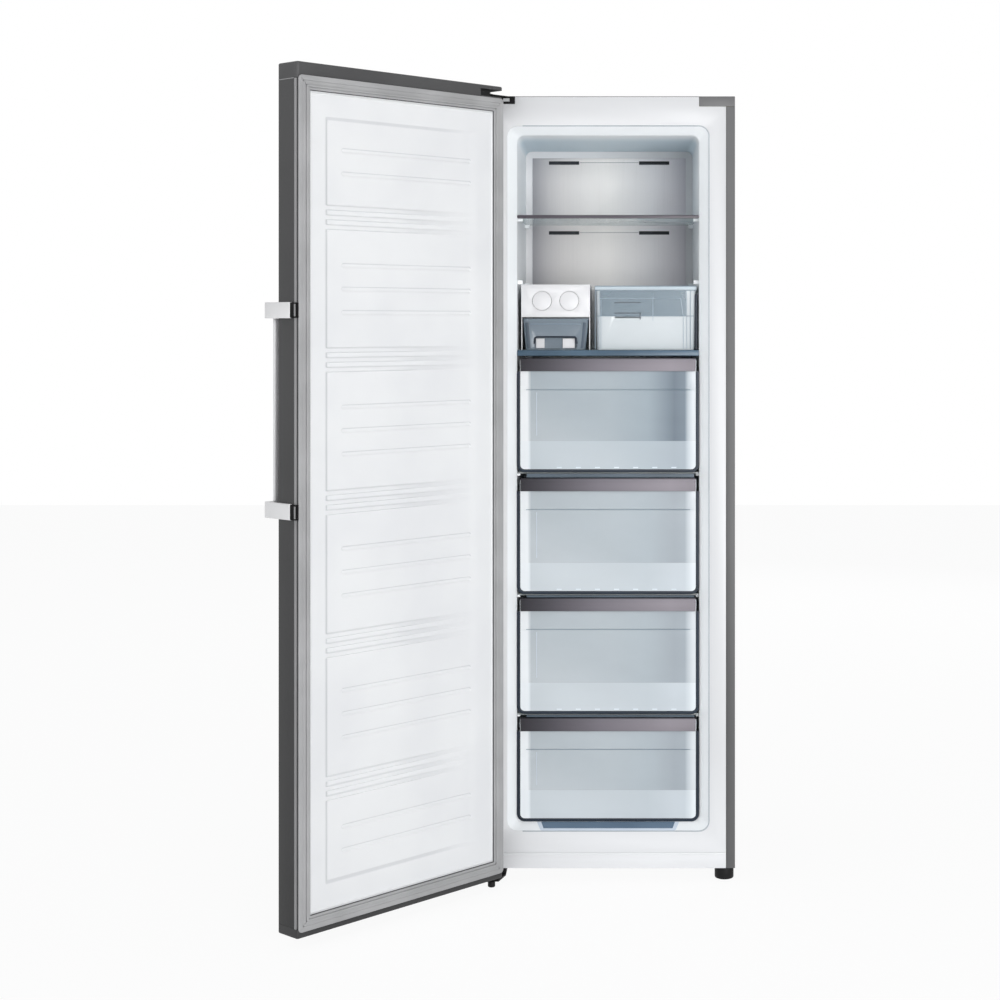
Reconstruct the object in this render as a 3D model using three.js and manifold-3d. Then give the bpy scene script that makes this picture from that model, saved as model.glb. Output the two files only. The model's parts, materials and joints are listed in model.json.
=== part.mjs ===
// Upright no-frost freezer, door open on its left hinge: cabinet, door, drawers, ice maker
// and the cooling parts behind them. Millimetres, +Z up.
import * as THREE from "three";
import { mergeVertices } from "three/addons/utils/BufferGeometryUtils.js";
import Module from "manifold-3d";

const wasm = await Module();
wasm.setup();

// Driving dimensions. x = 0 is the cabinet's middle, y = 0 its front face, z = 0 the floor,
// and the front looks along -y.
const cabinetWidth = 595;
const cabinetDepth = 575;
const cabinetTop = 1838;
const cabinetBottom = 30;
const gap = 0.3;
const sheet = 1;
const flangeWidth = 21;

// liner: the white moulded box that the food sits in, and the foam round it
const linerWall = 2;
const sideFoam = 82.9;
const topFoam = 89.2;
const rearFoam = 75;
const stepFoam = 46;
const cavityFloor = 134.3;
const mouthFlare = 22;
const mouthFlareAbove = 19.7;
const mouthFlareBelow = 17.3;
const mouthDepth = 25;
const mouthRadius = 24;
const cavityRadius = 16;
const railTop = 66.5;

// machine bay at the bottom, behind the liner's step
const bayTop = 326;
const bayDepth = 240;
const bayFoam = 35;

// cold air duct and its steel cover at the back of the cavity
const ductDepth = 61.2;
const ductWall = 2.5;
const coverMargin = 17.6;
const coverSheet = 2;
const coverDrop = 17.8;
const slotWidth = 78;
const slotHeight = 9;
const slotOffset = 116;
const slotDrops = [7.5, 187.5];
const coilMargin = 54.6;
const drainInset = 70;

// drawers: the top three stand on glass shelves, the lowest on the liner's floor
const drawerCount = 4;
const drawerPitch = 282.2;
const shelfRooms = [14.9, 10.3, 10.3];
const lowestOverStep = 5;
const drawerSideGap = 4.1;
const drawerFront = 22;
const drawerWall = 2.5;
const drawerBackGap = 14;
const trimHeight = 30;
const trimDepth = 5.7;
const glassThickness = 4;
const glassFront = 30;
const ledgeHeight = 5.6;
const ledgeWidth = 7;

// shelves and the ice unit above the drawers
const midTrimHeight = 13.8;
const midShelfRoom = 5.8;
const topShelfRise = 318.3;
const topTrimHeight = 8;
const shelfTrimDepth = 6;
const upperFront = 45;
const iceSideGap = 9;
const iceUnitWidth = 162.6;
const iceUnitRise = 154.9;
const iceUnitDepth = 255;
const iceBoxHeight = 77;
const iceBinRise = 74.4;
const iceBinBackGap = 48.5;
const knobPitch = 64.6;
const knobRadius = 22.4;
const knobDrop = 38.6;
const smallDrawerRise = 151.5;
const smallDrawerBackGap = 19.5;

// door, drawn closed about its hinge and then turned open
const doorSideGap = 0.5;
const doorRise = 16;
const doorBottom = 22;
const doorThickness = 67;
const doorGap = 7.4;
const doorRadius = 6;
const hingeInset = 18;
const hingeBack = 34.9;
const openAngle = 132.5;
const topCapHeight = 35;
const bottomCapHeight = 20;
const lipWidth = 6;
const gasketInset = 8;
const gasketWidth = 25;
const pinRadius = 4.5;
const pinReach = 15;
const handleBottom = 895;
const handleTop = 1351;
const bracketHeight = 34;
const handleReach = 38;
const handleWrap = 50;

// feet and rollers
const footRadius = 22.4;
const footSetback = 30;
const studRadius = 5;
const hingeFootRadius = 8.5;
const rollerRadius = 14;
const rollerWidth = 20;

// how far a cutter runs past a face, and how deep a joined piece is rooted in its neighbour
const over = 1;
const rooted = 0.5;

// worked out from the sizes above
const halfWidth = cabinetWidth / 2;
const innerHalf = halfWidth - sheet;
const frameHalf = halfWidth - flangeWidth - gap;
const cavityHalf = halfWidth - sideFoam;
const cavityTop = cabinetTop - topFoam;
const cavityDepth = cabinetDepth - rearFoam;
const bayFront = cabinetDepth - bayDepth;
const stepFront = bayFront - bayFoam;
const stepTop = bayTop + stepFoam;
const ductFront = cavityDepth - ductDepth;
const coverBack = ductFront - gap;
const coverFace = coverBack - coverSheet;
const lowestDrawerTop = stepTop + lowestOverStep;
const drawerTops = Array.from({ length: drawerCount }, (_, i) => {
  const above = drawerCount - 1 - i;
  return lowestDrawerTop + above * drawerPitch;
});
const drawerBottoms = drawerTops.map((_, i) =>
  i < drawerCount - 1 ? drawerTops[i + 1] + shelfRooms[i] : cavityFloor + gap,
);
const drawerGlassTops = drawerBottoms.slice(0, -1).map((bottom) => bottom - gap);
const midShelfTop = drawerTops[0] + midShelfRoom + midTrimHeight;
const topShelfTop = midShelfTop + topShelfRise;
const iceUnitTop = midShelfTop + iceUnitRise;
const doorTop = cabinetTop + doorRise;
const doorHalf = halfWidth - doorSideGap;
const doorInner = -doorGap;
const doorOuter = doorInner - doorThickness;
const hingeX = -doorHalf + hingeInset;
const hingeY = doorOuter + hingeBack;

const finish = (color, roughness, metalness = 0, opacity = 1) =>
  new THREE.MeshStandardMaterial({ color, roughness, metalness, opacity, transparent: opacity < 1 });
const greyPaint = finish(0x77787a, 0.4, 0.5);
const darkPaint = finish(0x4d4e50, 0.4, 0.5);
const whitePlastic = finish(0xf0f1f3, 0.4);
const darkPlastic = finish(0x48494b, 0.5);
const blackPlastic = finish(0x131415, 0.5);
const blackMetal = finish(0x1b1c1e, 0.45, 0.6);
const brushedSteel = finish(0xb9b6b6, 0.35, 0.9);
const satinSilver = finish(0xd8d9da, 0.3, 0.7);
const zincSteel = finish(0xa9adb0, 0.45, 0.8);
const foam = finish(0xe6dca8, 0.9);
const gasketRubber = finish(0xa6a7a8, 0.6);
const clearBlue = finish(0xa9bccb, 0.15, 0, 0.5);
const glass = finish(0xb6cdd2, 0.05, 0, 0.35);
const navyTrim = finish(0x33475a, 0.35);
const coilAluminium = finish(0xc4c7c9, 0.4, 0.8);
const copper = finish(0xb87333, 0.35, 0.9);

// solids

function toSolid(geometry) {
  const bare = geometry.clone();
  bare.deleteAttribute("normal");
  bare.deleteAttribute("uv");
  const merged = mergeVertices(bare);
  return new wasm.Manifold(
    new wasm.Mesh({
      numProp: 3,
      vertProperties: new Float32Array(merged.attributes.position.array),
      triVerts: new Uint32Array(merged.index.array),
    }),
  );
}

function toGeometry(solid) {
  const mesh = solid.getMesh();
  const geometry = new THREE.BufferGeometry();
  geometry.setAttribute("position", new THREE.BufferAttribute(mesh.vertProperties, 3));
  geometry.setIndex(new THREE.BufferAttribute(mesh.triVerts, 1));
  return geometry;
}

function join(first, ...others) {
  let solid = toSolid(first);
  for (const other of others) solid = solid.add(toSolid(other));
  return toGeometry(solid);
}

function cut(first, ...tools) {
  let solid = toSolid(first);
  for (const tool of tools) solid = solid.subtract(toSolid(tool));
  return toGeometry(solid);
}

// Box between two corners; each pair of limits may come in either order.
function block(x0, x1, y0, y1, z0, z1) {
  const size = [x1 - x0, y1 - y0, z1 - z0].map(Math.abs);
  const geometry = new THREE.BoxGeometry(...size);
  return geometry.translate((x0 + x1) / 2, (y0 + y1) / 2, (z0 + z1) / 2);
}

function rodZ(x, y, radius, z0, z1, sides = 24) {
  const geometry = new THREE.CylinderGeometry(radius, radius, z1 - z0, sides);
  return geometry.rotateX(Math.PI / 2).translate(x, y, (z0 + z1) / 2);
}

function rodY(x, z, radius, y0, y1, sides = 24) {
  const geometry = new THREE.CylinderGeometry(radius, radius, y1 - y0, sides);
  return geometry.translate(x, (y0 + y1) / 2, z);
}

function rodX(y, z, radius, x0, x1, sides = 24) {
  const geometry = new THREE.CylinderGeometry(radius, radius, x1 - x0, sides);
  return geometry.rotateZ(Math.PI / 2).translate((x0 + x1) / 2, y, z);
}

// Rounded rectangle as a list of [u, v] points, anticlockwise.
function roundedOutline(u0, u1, v0, v1, radius, steps = 4) {
  const corners = [
    [u1 - radius, v0 + radius, -90],
    [u1 - radius, v1 - radius, 0],
    [u0 + radius, v1 - radius, 90],
    [u0 + radius, v0 + radius, 180],
  ];
  const points = [];
  for (const [u, v, start] of corners)
    for (let i = 0; i <= steps; i++) {
      const turn = THREE.MathUtils.degToRad(start + (90 * i) / steps);
      points.push([u + radius * Math.cos(turn), v + radius * Math.sin(turn)]);
    }
  return points;
}

const ringInXZ = (y, ...size) => roundedOutline(...size).map(([x, z]) => new THREE.Vector3(x, y, z));
const ringInXY = (z, ...size) => roundedOutline(...size).map(([x, y]) => new THREE.Vector3(x, y, z));

// Closed skin through convex rings that have as many points each, with flat ends.
function loft(...rings) {
  const count = rings[0].length;
  const positions = rings.flat().flatMap((p) => [p.x, p.y, p.z]);
  const faces = [];
  for (let level = 0; level + 1 < rings.length; level++)
    for (let i = 0; i < count; i++) {
      const a = level * count + i;
      const b = level * count + ((i + 1) % count);
      faces.push([a, b, b + count], [a, b + count, a + count]);
    }
  const last = (rings.length - 1) * count;
  for (let i = 1; i + 1 < count; i++) faces.push([0, i + 1, i], [last, last + i, last + i + 1]);
  const [first, second] = [rings[0], rings[1]];
  const edge = first[1].clone().sub(first[0]);
  const outward = edge.cross(second[0].clone().sub(first[0]));
  const centre = first.reduce((sum, p) => sum.add(p), new THREE.Vector3()).divideScalar(count);
  const inward = centre.sub(first[0]).dot(outward) > 0;
  const geometry = new THREE.BufferGeometry();
  geometry.setAttribute("position", new THREE.Float32BufferAttribute(positions, 3));
  geometry.setIndex(faces.flatMap(([a, b, c]) => (inward ? [a, c, b] : [a, b, c])));
  return geometry;
}

const extrude = (points, depth) =>
  new THREE.ExtrudeGeometry(new THREE.Shape(points.map(([u, v]) => new THREE.Vector2(u, v))), {
    depth,
    bevelEnabled: false,
  });

// [x, y] outline raised from z0 to z1
const plateXY = (points, z0, z1) => extrude(points, z1 - z0).translate(0, 0, z0);

// [y, z] outline drawn out from x0 to x1
function profileX(points, x0, x1) {
  const alongX = new THREE.Matrix4().makeBasis(
    new THREE.Vector3(0, 1, 0),
    new THREE.Vector3(0, 0, 1),
    new THREE.Vector3(1, 0, 0),
  );
  return extrude(points, x1 - x0).applyMatrix4(alongX).translate(x0, 0, 0);
}

// [radius, z] profile turned about a vertical line
function turnedZ(points, x, y, sides = 24) {
  const outline = points.map(([radius, z]) => new THREE.Vector2(radius, z));
  return new THREE.LatheGeometry(outline, sides).rotateX(Math.PI / 2).translate(x, y, 0);
}

function add(parent, name, geometry, material) {
  const mesh = new THREE.Mesh(geometry, material.clone());
  mesh.name = name;
  parent.add(mesh);
}

const cabinet = new THREE.Group();

// cabinet shell

const cornerCapWidth = 84;
const cornerCapHeight = 23.4;
const capProud = 0.5;

// The room that the corner cap takes out of the wrapper and the liner's frame.
const capNotch = block(
  halfWidth - cornerCapWidth - gap,
  halfWidth + over,
  -over,
  linerWall + gap,
  cabinetTop - cornerCapHeight - gap,
  cabinetTop + over,
);

function addWrapper() {
  const back = cabinetDepth - sheet - gap;
  const high = cabinetTop - sheet;
  const outside = block(-halfWidth, halfWidth, 0, back, cabinetBottom, cabinetTop);
  const inside = block(-innerHalf, innerHalf, -over, back + over, cabinetBottom - over, high);
  const flanges = [-1, 1].map((side) => {
    const inner = side * (halfWidth - flangeWidth);
    return block(side * innerHalf, inner, 0, sheet, cabinetBottom, high);
  });
  const shell = cut(join(cut(outside, inside), ...flanges), capNotch);
  add(cabinet, "outer_wrapper", shell, greyPaint);
}

function addCornerCap() {
  const x0 = halfWidth - cornerCapWidth;
  const z0 = cabinetTop - cornerCapHeight;
  const cap = block(x0, halfWidth, -capProud, linerWall, z0, cabinetTop);
  add(cabinet, "corner_cap", cap, darkPlastic);
}

const rearPanelBottom = bayTop + 4;

function addRearPanel() {
  const front = cabinetDepth - sheet;
  const panel = block(-halfWidth, halfWidth, front, cabinetDepth, rearPanelBottom, cabinetTop);
  add(cabinet, "rear_panel", panel, zincSteel);
}

const basePlate = cabinetBottom + sheet;
const coilHalf = cavityHalf - coilMargin;
const drainX = drainInset - coilHalf;
const drainY = cavityDepth - 30;
const drainRadius = 8;
const drainRod = (room, z0, z1) => rodZ(drainX, drainY, drainRadius + room, z0, z1);
const footX = halfWidth - footRadius - 1.5;
const studTop = basePlate + 18;
const studRoom = 3;

function addBasePanel() {
  const low = basePlate;
  const front = linerWall + gap;
  const profile = [
    [front, low],
    [bayFront + sheet, low],
    [bayFront + sheet, bayTop - sheet],
    [cabinetDepth - 2 * sheet, bayTop - sheet],
    [cabinetDepth - 2 * sheet, bayTop],
    [bayFront, bayTop],
    [bayFront, low + sheet],
    [front, low + sheet],
  ];
  const half = innerHalf - gap;
  const drainHole = drainRod(gap, bayTop - sheet - over, bayTop + over);
  const studHole = rodZ(footX, footSetback, studRadius + gap, low - over, low + sheet + over);
  const panel = cut(profileX(profile, -half, half), drainHole, studHole);
  add(cabinet, "base_panel", panel, zincSteel);
}

const railGroove = 61;
const grooveDepth = 0.8;

function addFrontRail() {
  const profile = [
    [0, cabinetBottom],
    [linerWall, cabinetBottom],
    [linerWall, railTop - gap],
    [0, railTop - gap],
    [0, railGroove + grooveDepth],
    [grooveDepth, railGroove],
    [0, railGroove - grooveDepth],
  ];
  add(cabinet, "front_rail", profileX(profile, -frameHalf, frameHalf), whitePlastic);
}

// liner

const mouthLip = 0.5;
const mouthJoin = 2.5;

// The cavity grown outwards by an offset: flared mouth, main box and the shallow part by the step.
function cavityShape(offset, front) {
  const ring = (y, flare, flareAbove, flareBelow, radius) =>
    ringInXZ(
      y,
      -cavityHalf - flare - offset,
      cavityHalf + flare + offset,
      cavityFloor - flareBelow - offset,
      cavityTop + flareAbove + offset,
      radius + offset,
    );
  const mouth = loft(
    ring(front, mouthFlare, mouthFlareAbove, mouthFlareBelow, mouthRadius),
    ring(mouthLip, mouthFlare, mouthFlareAbove, mouthFlareBelow, mouthRadius),
    ring(mouthDepth, 0, 0, 0, cavityRadius),
    ring(mouthDepth + 2 * mouthJoin, 0, 0, 0, cavityRadius),
  );
  const main = loft(
    ring(mouthDepth + mouthJoin, 0, 0, 0, cavityRadius),
    ring(cavityDepth + offset, 0, 0, 0, cavityRadius),
  );
  const back = cavityDepth + offset + over;
  const step = block(-halfWidth, halfWidth, stepFront + offset, back, 0, stepTop - offset);
  return join(mouth, cut(main, step));
}

const shelfBackRoom = 10;
const ledgeSetback = 10;
const pegWidth = 12;
const pegHeight = 9;
const pegLength = 16;
const pegRow = 52;
const sparePegRise = 10;
const pegLevels = [iceUnitTop + sparePegRise, topShelfTop - glassThickness - gap];
const frameTop = cabinetTop - sheet - gap;

// Two ledges that a glass shelf rests on, rooted in the liner's side walls.
function shelfLedges(glassTop) {
  const top = glassTop - glassThickness - gap;
  const front = glassFront + ledgeSetback;
  const back = coverFace - shelfBackRoom;
  return [-1, 1].map((side) => {
    const inner = side * (cavityHalf - ledgeWidth);
    return block(inner, side * (cavityHalf + rooted), front, back, top - ledgeHeight, top);
  });
}

function shelfPegs(top) {
  const fronts = [pegRow, coverFace - pegRow];
  return [-1, 1].flatMap((side) =>
    fronts.map((y) => {
      const inner = side * (cavityHalf - pegWidth);
      const root = side * (cavityHalf + rooted);
      return block(inner, root, y, y + pegLength, top - pegHeight, top);
    }),
  );
}

function addLiner() {
  const frame = block(-frameHalf, frameHalf, 0, linerWall, railTop, frameTop);
  const shell = join(frame, cavityShape(linerWall, 0));
  const pegs = pegLevels.flatMap(shelfPegs);
  const ledges = [midShelfTop, ...drawerGlassTops].flatMap(shelfLedges);
  const drainHole = drainRod(gap, stepTop - linerWall - over, stepTop + over);
  const hollow = cut(shell, cavityShape(0, -over), capNotch, drainHole);
  add(cabinet, "inner_liner", join(hollow, ...pegs, ...ledges), whitePlastic);
}

function addFoam() {
  const space = block(
    -innerHalf + gap,
    innerHalf - gap,
    linerWall + gap,
    cabinetDepth - sheet - 2 * gap,
    basePlate + sheet + gap,
    cabinetTop - sheet - gap,
  );
  const bay = block(-halfWidth, halfWidth, bayFront - gap, cabinetDepth, 0, bayTop + gap);
  const studPocket = rodZ(footX, footSetback, studRadius + studRoom, 0, studTop + studRoom);
  const cavity = cavityShape(linerWall + gap, -over);
  const packing = cut(space, bay, cavity, studPocket, drainRod(gap, 0, stepTop));
  add(cabinet, "insulation_foam", packing, foam);
}

// cold air side

// The air slots as cutters, through the steel cover or through the duct behind it.
function airSlots(y0, y1) {
  return slotDrops.flatMap((drop) =>
    [-1, 1].map((side) => {
      const left = side * slotOffset - slotWidth / 2;
      const top = cavityTop - coverDrop - drop;
      return block(left, left + slotWidth, y0 - over, y1 + over, top - slotHeight, top);
    }),
  );
}

function addEvaporatorCover() {
  const half = cavityHalf - coverMargin;
  const top = cavityTop - coverDrop;
  const plate = block(-half, half, coverFace, coverBack, stepTop + gap, top);
  const cover = cut(plate, ...airSlots(coverFace, coverBack));
  add(cabinet, "evaporator_cover", cover, brushedSteel);
}

const ductLow = stepTop + gap;

function addEvaporatorDuct() {
  const half = cavityHalf - gap;
  const high = cavityTop - gap;
  const innerFront = ductFront + ductWall;
  const shell = loft(
    ringInXZ(ductFront, -half, half, ductLow, high, cavityRadius),
    ringInXZ(cavityDepth - gap, -half, half, ductLow, high, cavityRadius),
  );
  const inside = block(
    -half + ductWall,
    half - ductWall,
    innerFront,
    cavityDepth + over,
    ductLow + ductWall,
    high - ductWall,
  );
  const drainHole = drainRod(gap, ductLow - over, ductLow + ductWall + over);
  const duct = cut(shell, inside, drainHole, ...airSlots(ductFront, innerFront));
  add(cabinet, "evaporator_duct", duct, whitePlastic);
}

const coilBottom = 430;
const coilRows = 6;
const coilPitch = 46;
const coilTube = 4;
const coilSides = 8;
const bendSteps = 8;
const coilY = cavityDepth - 28;
const finDepth = 40;
const finCount = 8;
const finThickness = 1.2;
const finOverhang = 15;
const finInset = 12;
const panLow = ductLow + ductWall + gap;

function addEvaporatorCoil() {
  const bend = coilPitch / 2;
  const pieces = [];
  for (let row = 0; row < coilRows; row++) {
    const z = coilBottom + row * coilPitch;
    pieces.push(rodX(coilY, z, coilTube, -coilHalf - rooted, coilHalf + rooted, coilSides));
    if (row + 1 < coilRows) pieces.push(coilBend(row % 2 ? -1 : 1, z + bend, bend));
  }
  const last = coilHalf - finInset;
  const top = coilBottom + (coilRows - 1) * coilPitch + finOverhang;
  const [y0, y1] = [coilY - finDepth / 2, coilY + finDepth / 2];
  for (let i = 0; i < finCount; i++) {
    const x = -last + (i * 2 * last) / (finCount - 1);
    const side = finThickness / 2;
    const standing = i === 0 || i === finCount - 1;
    const low = standing ? panLow : coilBottom - finOverhang;
    pieces.push(block(x - side, x + side, y0, y1, low, top));
  }
  add(cabinet, "evaporator_coil", join(...pieces), coilAluminium);
}

// Half circle of tube that joins one row of the coil to the next.
function coilBend(side, z, radius) {
  const start = side > 0 ? -Math.PI / 2 : Math.PI / 2;
  const path = new THREE.EllipseCurve(side * coilHalf, z, radius, radius, start, start + Math.PI);
  const points = path.getPoints(bendSteps).map((p) => new THREE.Vector3(p.x, coilY, p.y));
  const profile = new THREE.Shape();
  profile.absarc(0, 0, coilTube, 0, 2 * Math.PI);
  return new THREE.ExtrudeGeometry(profile, {
    extrudePath: new THREE.CatmullRomCurve3(points),
    steps: bendSteps,
    curveSegments: coilSides / 2,
  });
}

const panMargin = 20;
const panHeight = 22;
const panWall = 2;
const spoutDrop = 40;

function addDrainPan() {
  const half = coilHalf - panMargin;
  const inner = half - panWall;
  const y0 = ductFront + ductWall + 1;
  const y1 = cavityDepth - 1;
  const high = panLow + panHeight;
  const tray = cut(
    block(-half, half, y0, y1, panLow, high),
    block(-inner, inner, y0 + panWall, y1 - panWall, panLow + panWall, high + over),
  );
  const spout = drainRod(0, bayTop - spoutDrop, panLow + rooted);
  const bore = drainRod(-panWall, bayTop - spoutDrop - over, panLow + panWall + over);
  add(cabinet, "drain_pan", cut(join(tray, spout), bore), whitePlastic);
}

const fanZ = 930;
const fanRadius = 48;
const hubRadius = 14;
const vaneCount = 5;
const vaneChord = 26;
const vaneThickness = 1.6;
const vaneTwist = 28;
const motorRadius = 26;
const motorLength = 24;
const shaftRadius = 3;
const shaftLength = 20;

function addFan() {
  const back = cavityDepth - gap;
  const motorFront = back - motorLength;
  const shaftTip = motorFront - shaftLength;
  const motor = join(
    rodY(0, fanZ, motorRadius, motorFront, back),
    rodY(0, fanZ, shaftRadius, shaftTip, motorFront + rooted, 12),
  );
  add(cabinet, "fan_motor", motor, blackPlastic);
  const hubFront = shaftTip - 2;
  const hubBack = motorFront - 3;
  const root = hubRadius - 6;
  const vanes = Array.from({ length: vaneCount }, (_, i) => {
    const vane = new THREE.BoxGeometry(fanRadius - root, vaneThickness, vaneChord);
    vane.rotateX(THREE.MathUtils.degToRad(vaneTwist));
    vane.translate((fanRadius + root) / 2, 0, 0);
    vane.rotateY((i * 2 * Math.PI) / vaneCount);
    return vane.translate(0, (hubFront + hubBack) / 2, fanZ);
  });
  const wheel = join(rodY(0, fanZ, hubRadius, hubFront, hubBack), ...vanes);
  const bore = rodY(0, fanZ, shaftRadius + gap, shaftTip - gap, hubBack + over, 12);
  add(cabinet, "fan_blade", cut(wheel, bore), whitePlastic);
}

// machine bay

const railLow = cabinetBottom + 1.3;
const railSheet = 2.5;
const railLip = 14;
const rollerX = halfWidth - 48;
const rollerY = cabinetDepth - 40;
const axleRadius = 4;
const axleEnd = 3;
const earGap = 1;
const earThickness = 3;
const earHalf = 12;
const earBottom = 5;

function addCompressorRail() {
  const half = innerHalf - gap;
  const front = bayFront + sheet + 6;
  const back = cabinetDepth - 12;
  const plate = block(-half, half, front, back, railLow, railLow + railSheet);
  const lips = [front, back - railSheet].map((y) =>
    block(-half, half, y, y + railSheet, railLow, railLow + railLip),
  );
  const [y0, y1] = [rollerY - earHalf, rollerY + earHalf];
  const near = rollerWidth / 2 + earGap;
  const carriers = [-1, 1].flatMap((side) => {
    const x = side * rollerX;
    const reach = near + axleEnd;
    return [
      block(x - near - earThickness, x - near, y0, y1, earBottom, railLow + rooted),
      block(x + near, x + near + earThickness, y0, y1, earBottom, railLow + rooted),
      rodX(rollerY, rollerRadius, axleRadius, x - reach, x + reach, 16),
    ];
  });
  add(cabinet, "compressor_rail", join(plate, ...lips, ...carriers), zincSteel);
}

function addRoller(name, side) {
  const roller = new THREE.Group();
  const half = rollerWidth / 2;
  const wheel = cut(
    rodX(0, 0, rollerRadius, -half, half),
    rodX(0, 0, axleRadius + gap, -half - over, half + over, 16),
  );
  add(roller, name, wheel, blackPlastic);
  roller.position.set(side * rollerX, rollerY, rollerRadius);
  cabinet.add(roller);
}

const compressorX = -90;
const compressorY = bayFront + 118;
const compressorRadius = 82;
const compressorTop = bayTop - 101;
const domeRadius = 34;
const domeSteps = 5;
const mountHeight = 16;
const mountRadius = 11;
const mountSpread = [82, 38];
const footPlate = [95, 50];

function addCompressor() {
  const low = railLow + railSheet + gap;
  const base = low + mountHeight;
  const waist = compressorRadius - domeRadius;
  const profile = [[0, base]];
  for (const [centre, start] of [
    [base + domeRadius, -90],
    [compressorTop - domeRadius, 0],
  ])
    for (let i = 0; i <= domeSteps; i++) {
      const turn = THREE.MathUtils.degToRad(start + (90 * i) / domeSteps);
      profile.push([waist + domeRadius * Math.cos(turn), centre + domeRadius * Math.sin(turn)]);
    }
  profile.push([0, compressorTop]);
  const shell = turnedZ(profile, compressorX, compressorY, 28);
  const [plateX, plateY] = footPlate;
  const plate = block(
    compressorX - plateX,
    compressorX + plateX,
    compressorY - plateY,
    compressorY + plateY,
    base - 3,
    base + 6,
  );
  const [mountX, mountY] = mountSpread;
  const mounts = [-1, 1].flatMap((dx) =>
    [-1, 1].map((dy) =>
      rodZ(compressorX + dx * mountX, compressorY + dy * mountY, mountRadius, low, base, 16),
    ),
  );
  add(cabinet, "compressor", join(shell, plate, ...mounts), blackMetal);
}

const dripHalfX = 85;
const dripHalfY = 60;
const dripHeight = 34;
const dripTaper = 8;
const dripWall = 2;

function addDripTray() {
  const low = compressorTop + gap;
  const high = low + dripHeight;
  const ring = (z, inset, radius) =>
    ringInXY(
      z,
      compressorX - dripHalfX + inset,
      compressorX + dripHalfX - inset,
      compressorY - dripHalfY + inset,
      compressorY + dripHalfY - inset,
      radius,
    );
  const outer = loft(ring(low, dripTaper, 12), ring(high, 0, 14));
  const inner = loft(
    ring(low + dripWall, dripTaper + dripWall, 10),
    ring(high + over, dripWall, 12),
  );
  add(cabinet, "drip_tray", cut(outer, inner), blackPlastic);
}

const drierX = 120;
const drierRadius = 10;
const drierTube = 3;

function addFilterDrier() {
  const y = bayFront + sheet + gap + drierRadius + 2;
  const top = bayTop - sheet - gap;
  const profile = [
    [0, 90],
    [drierTube, 90],
    [drierTube, 110],
    [drierRadius, 120],
    [drierRadius, 200],
    [drierTube, 210],
    [drierTube, top],
    [0, top],
  ];
  add(cabinet, "filter_drier", turnedZ(profile, drierX, y, 16), copper);
}

const coverBottom = 46;
const coverReturn = 11;
const rearCoverSheet = 1.5;
const louvreRows = 12;
const louvrePitch = 14;
const louvreHeight = 6;
const louvreBottom = 130;
const louvreSpan = [20, 200];
const glandX = 215;
const glandZ = 80;
const glandRadius = 12;
const glandFlange = 15;
const glandLength = 12;
const glandProud = 5;
const glandBore = 4;

function addRearCover() {
  const half = innerHalf - 2;
  const front = cabinetDepth - rearCoverSheet;
  const [near, far] = louvreSpan;
  const louvres = [];
  for (let row = 0; row < louvreRows; row++)
    for (const side of [-1, 1]) {
      const z = louvreBottom + row * louvrePitch;
      const slot = [front - over, cabinetDepth + over, z, z + louvreHeight];
      louvres.push(block(side * near, side * far, ...slot));
    }
  const high = rearPanelBottom - gap;
  const plate = block(-half, half, front, cabinetDepth, coverBottom, high);
  const lip = block(
    -half,
    half,
    cabinetDepth - coverReturn,
    cabinetDepth - rooted,
    coverBottom,
    coverBottom + rearCoverSheet,
  );
  const glandHole = rodY(glandX, glandZ, glandRadius + gap, front - over, cabinetDepth + over);
  add(cabinet, "rear_cover", cut(join(plate, lip), glandHole, ...louvres), darkPaint);

  const back = cabinetDepth + glandProud;
  const gland = join(
    rodY(glandX, glandZ, glandRadius, cabinetDepth - glandLength, cabinetDepth + rooted),
    rodY(glandX, glandZ, glandFlange, cabinetDepth + gap, back),
  );
  const bore = rodY(glandX, glandZ, glandBore, cabinetDepth - glandLength + 4, back + over, 16);
  add(cabinet, "cord_gland", cut(gland, bore), blackPlastic);
}

// feet and hinges

const footEdge = 4;
const footTop = cabinetBottom - 1.5;

function addFoot() {
  const foot = new THREE.Group();
  const profile = [
    [0, 0],
    [footRadius - footEdge, 0],
    [footRadius - footEdge / 4, footEdge / 3],
    [footRadius, footEdge],
    [footRadius, footTop],
    [studRadius, footTop],
    [studRadius, studTop],
    [0, studTop],
  ];
  add(foot, "foot_right", turnedZ(profile, 0, 0, 32), blackPlastic);
  foot.position.set(footX, footSetback, 0);
  cabinet.add(foot);
}

const lowerPlateBottom = 13;
const lowerPlateTop = 18;
const tipRadius = 13;
const collarRadius = 8;
const lowerPlateWidth = 53;
const lowerPlateBack = 62;
const riserFront = 4;
const hingeFootX = hingeX + 9.2;
const hingeFootY = hingeY - 5;
const hingeStud = 3.6;

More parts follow.
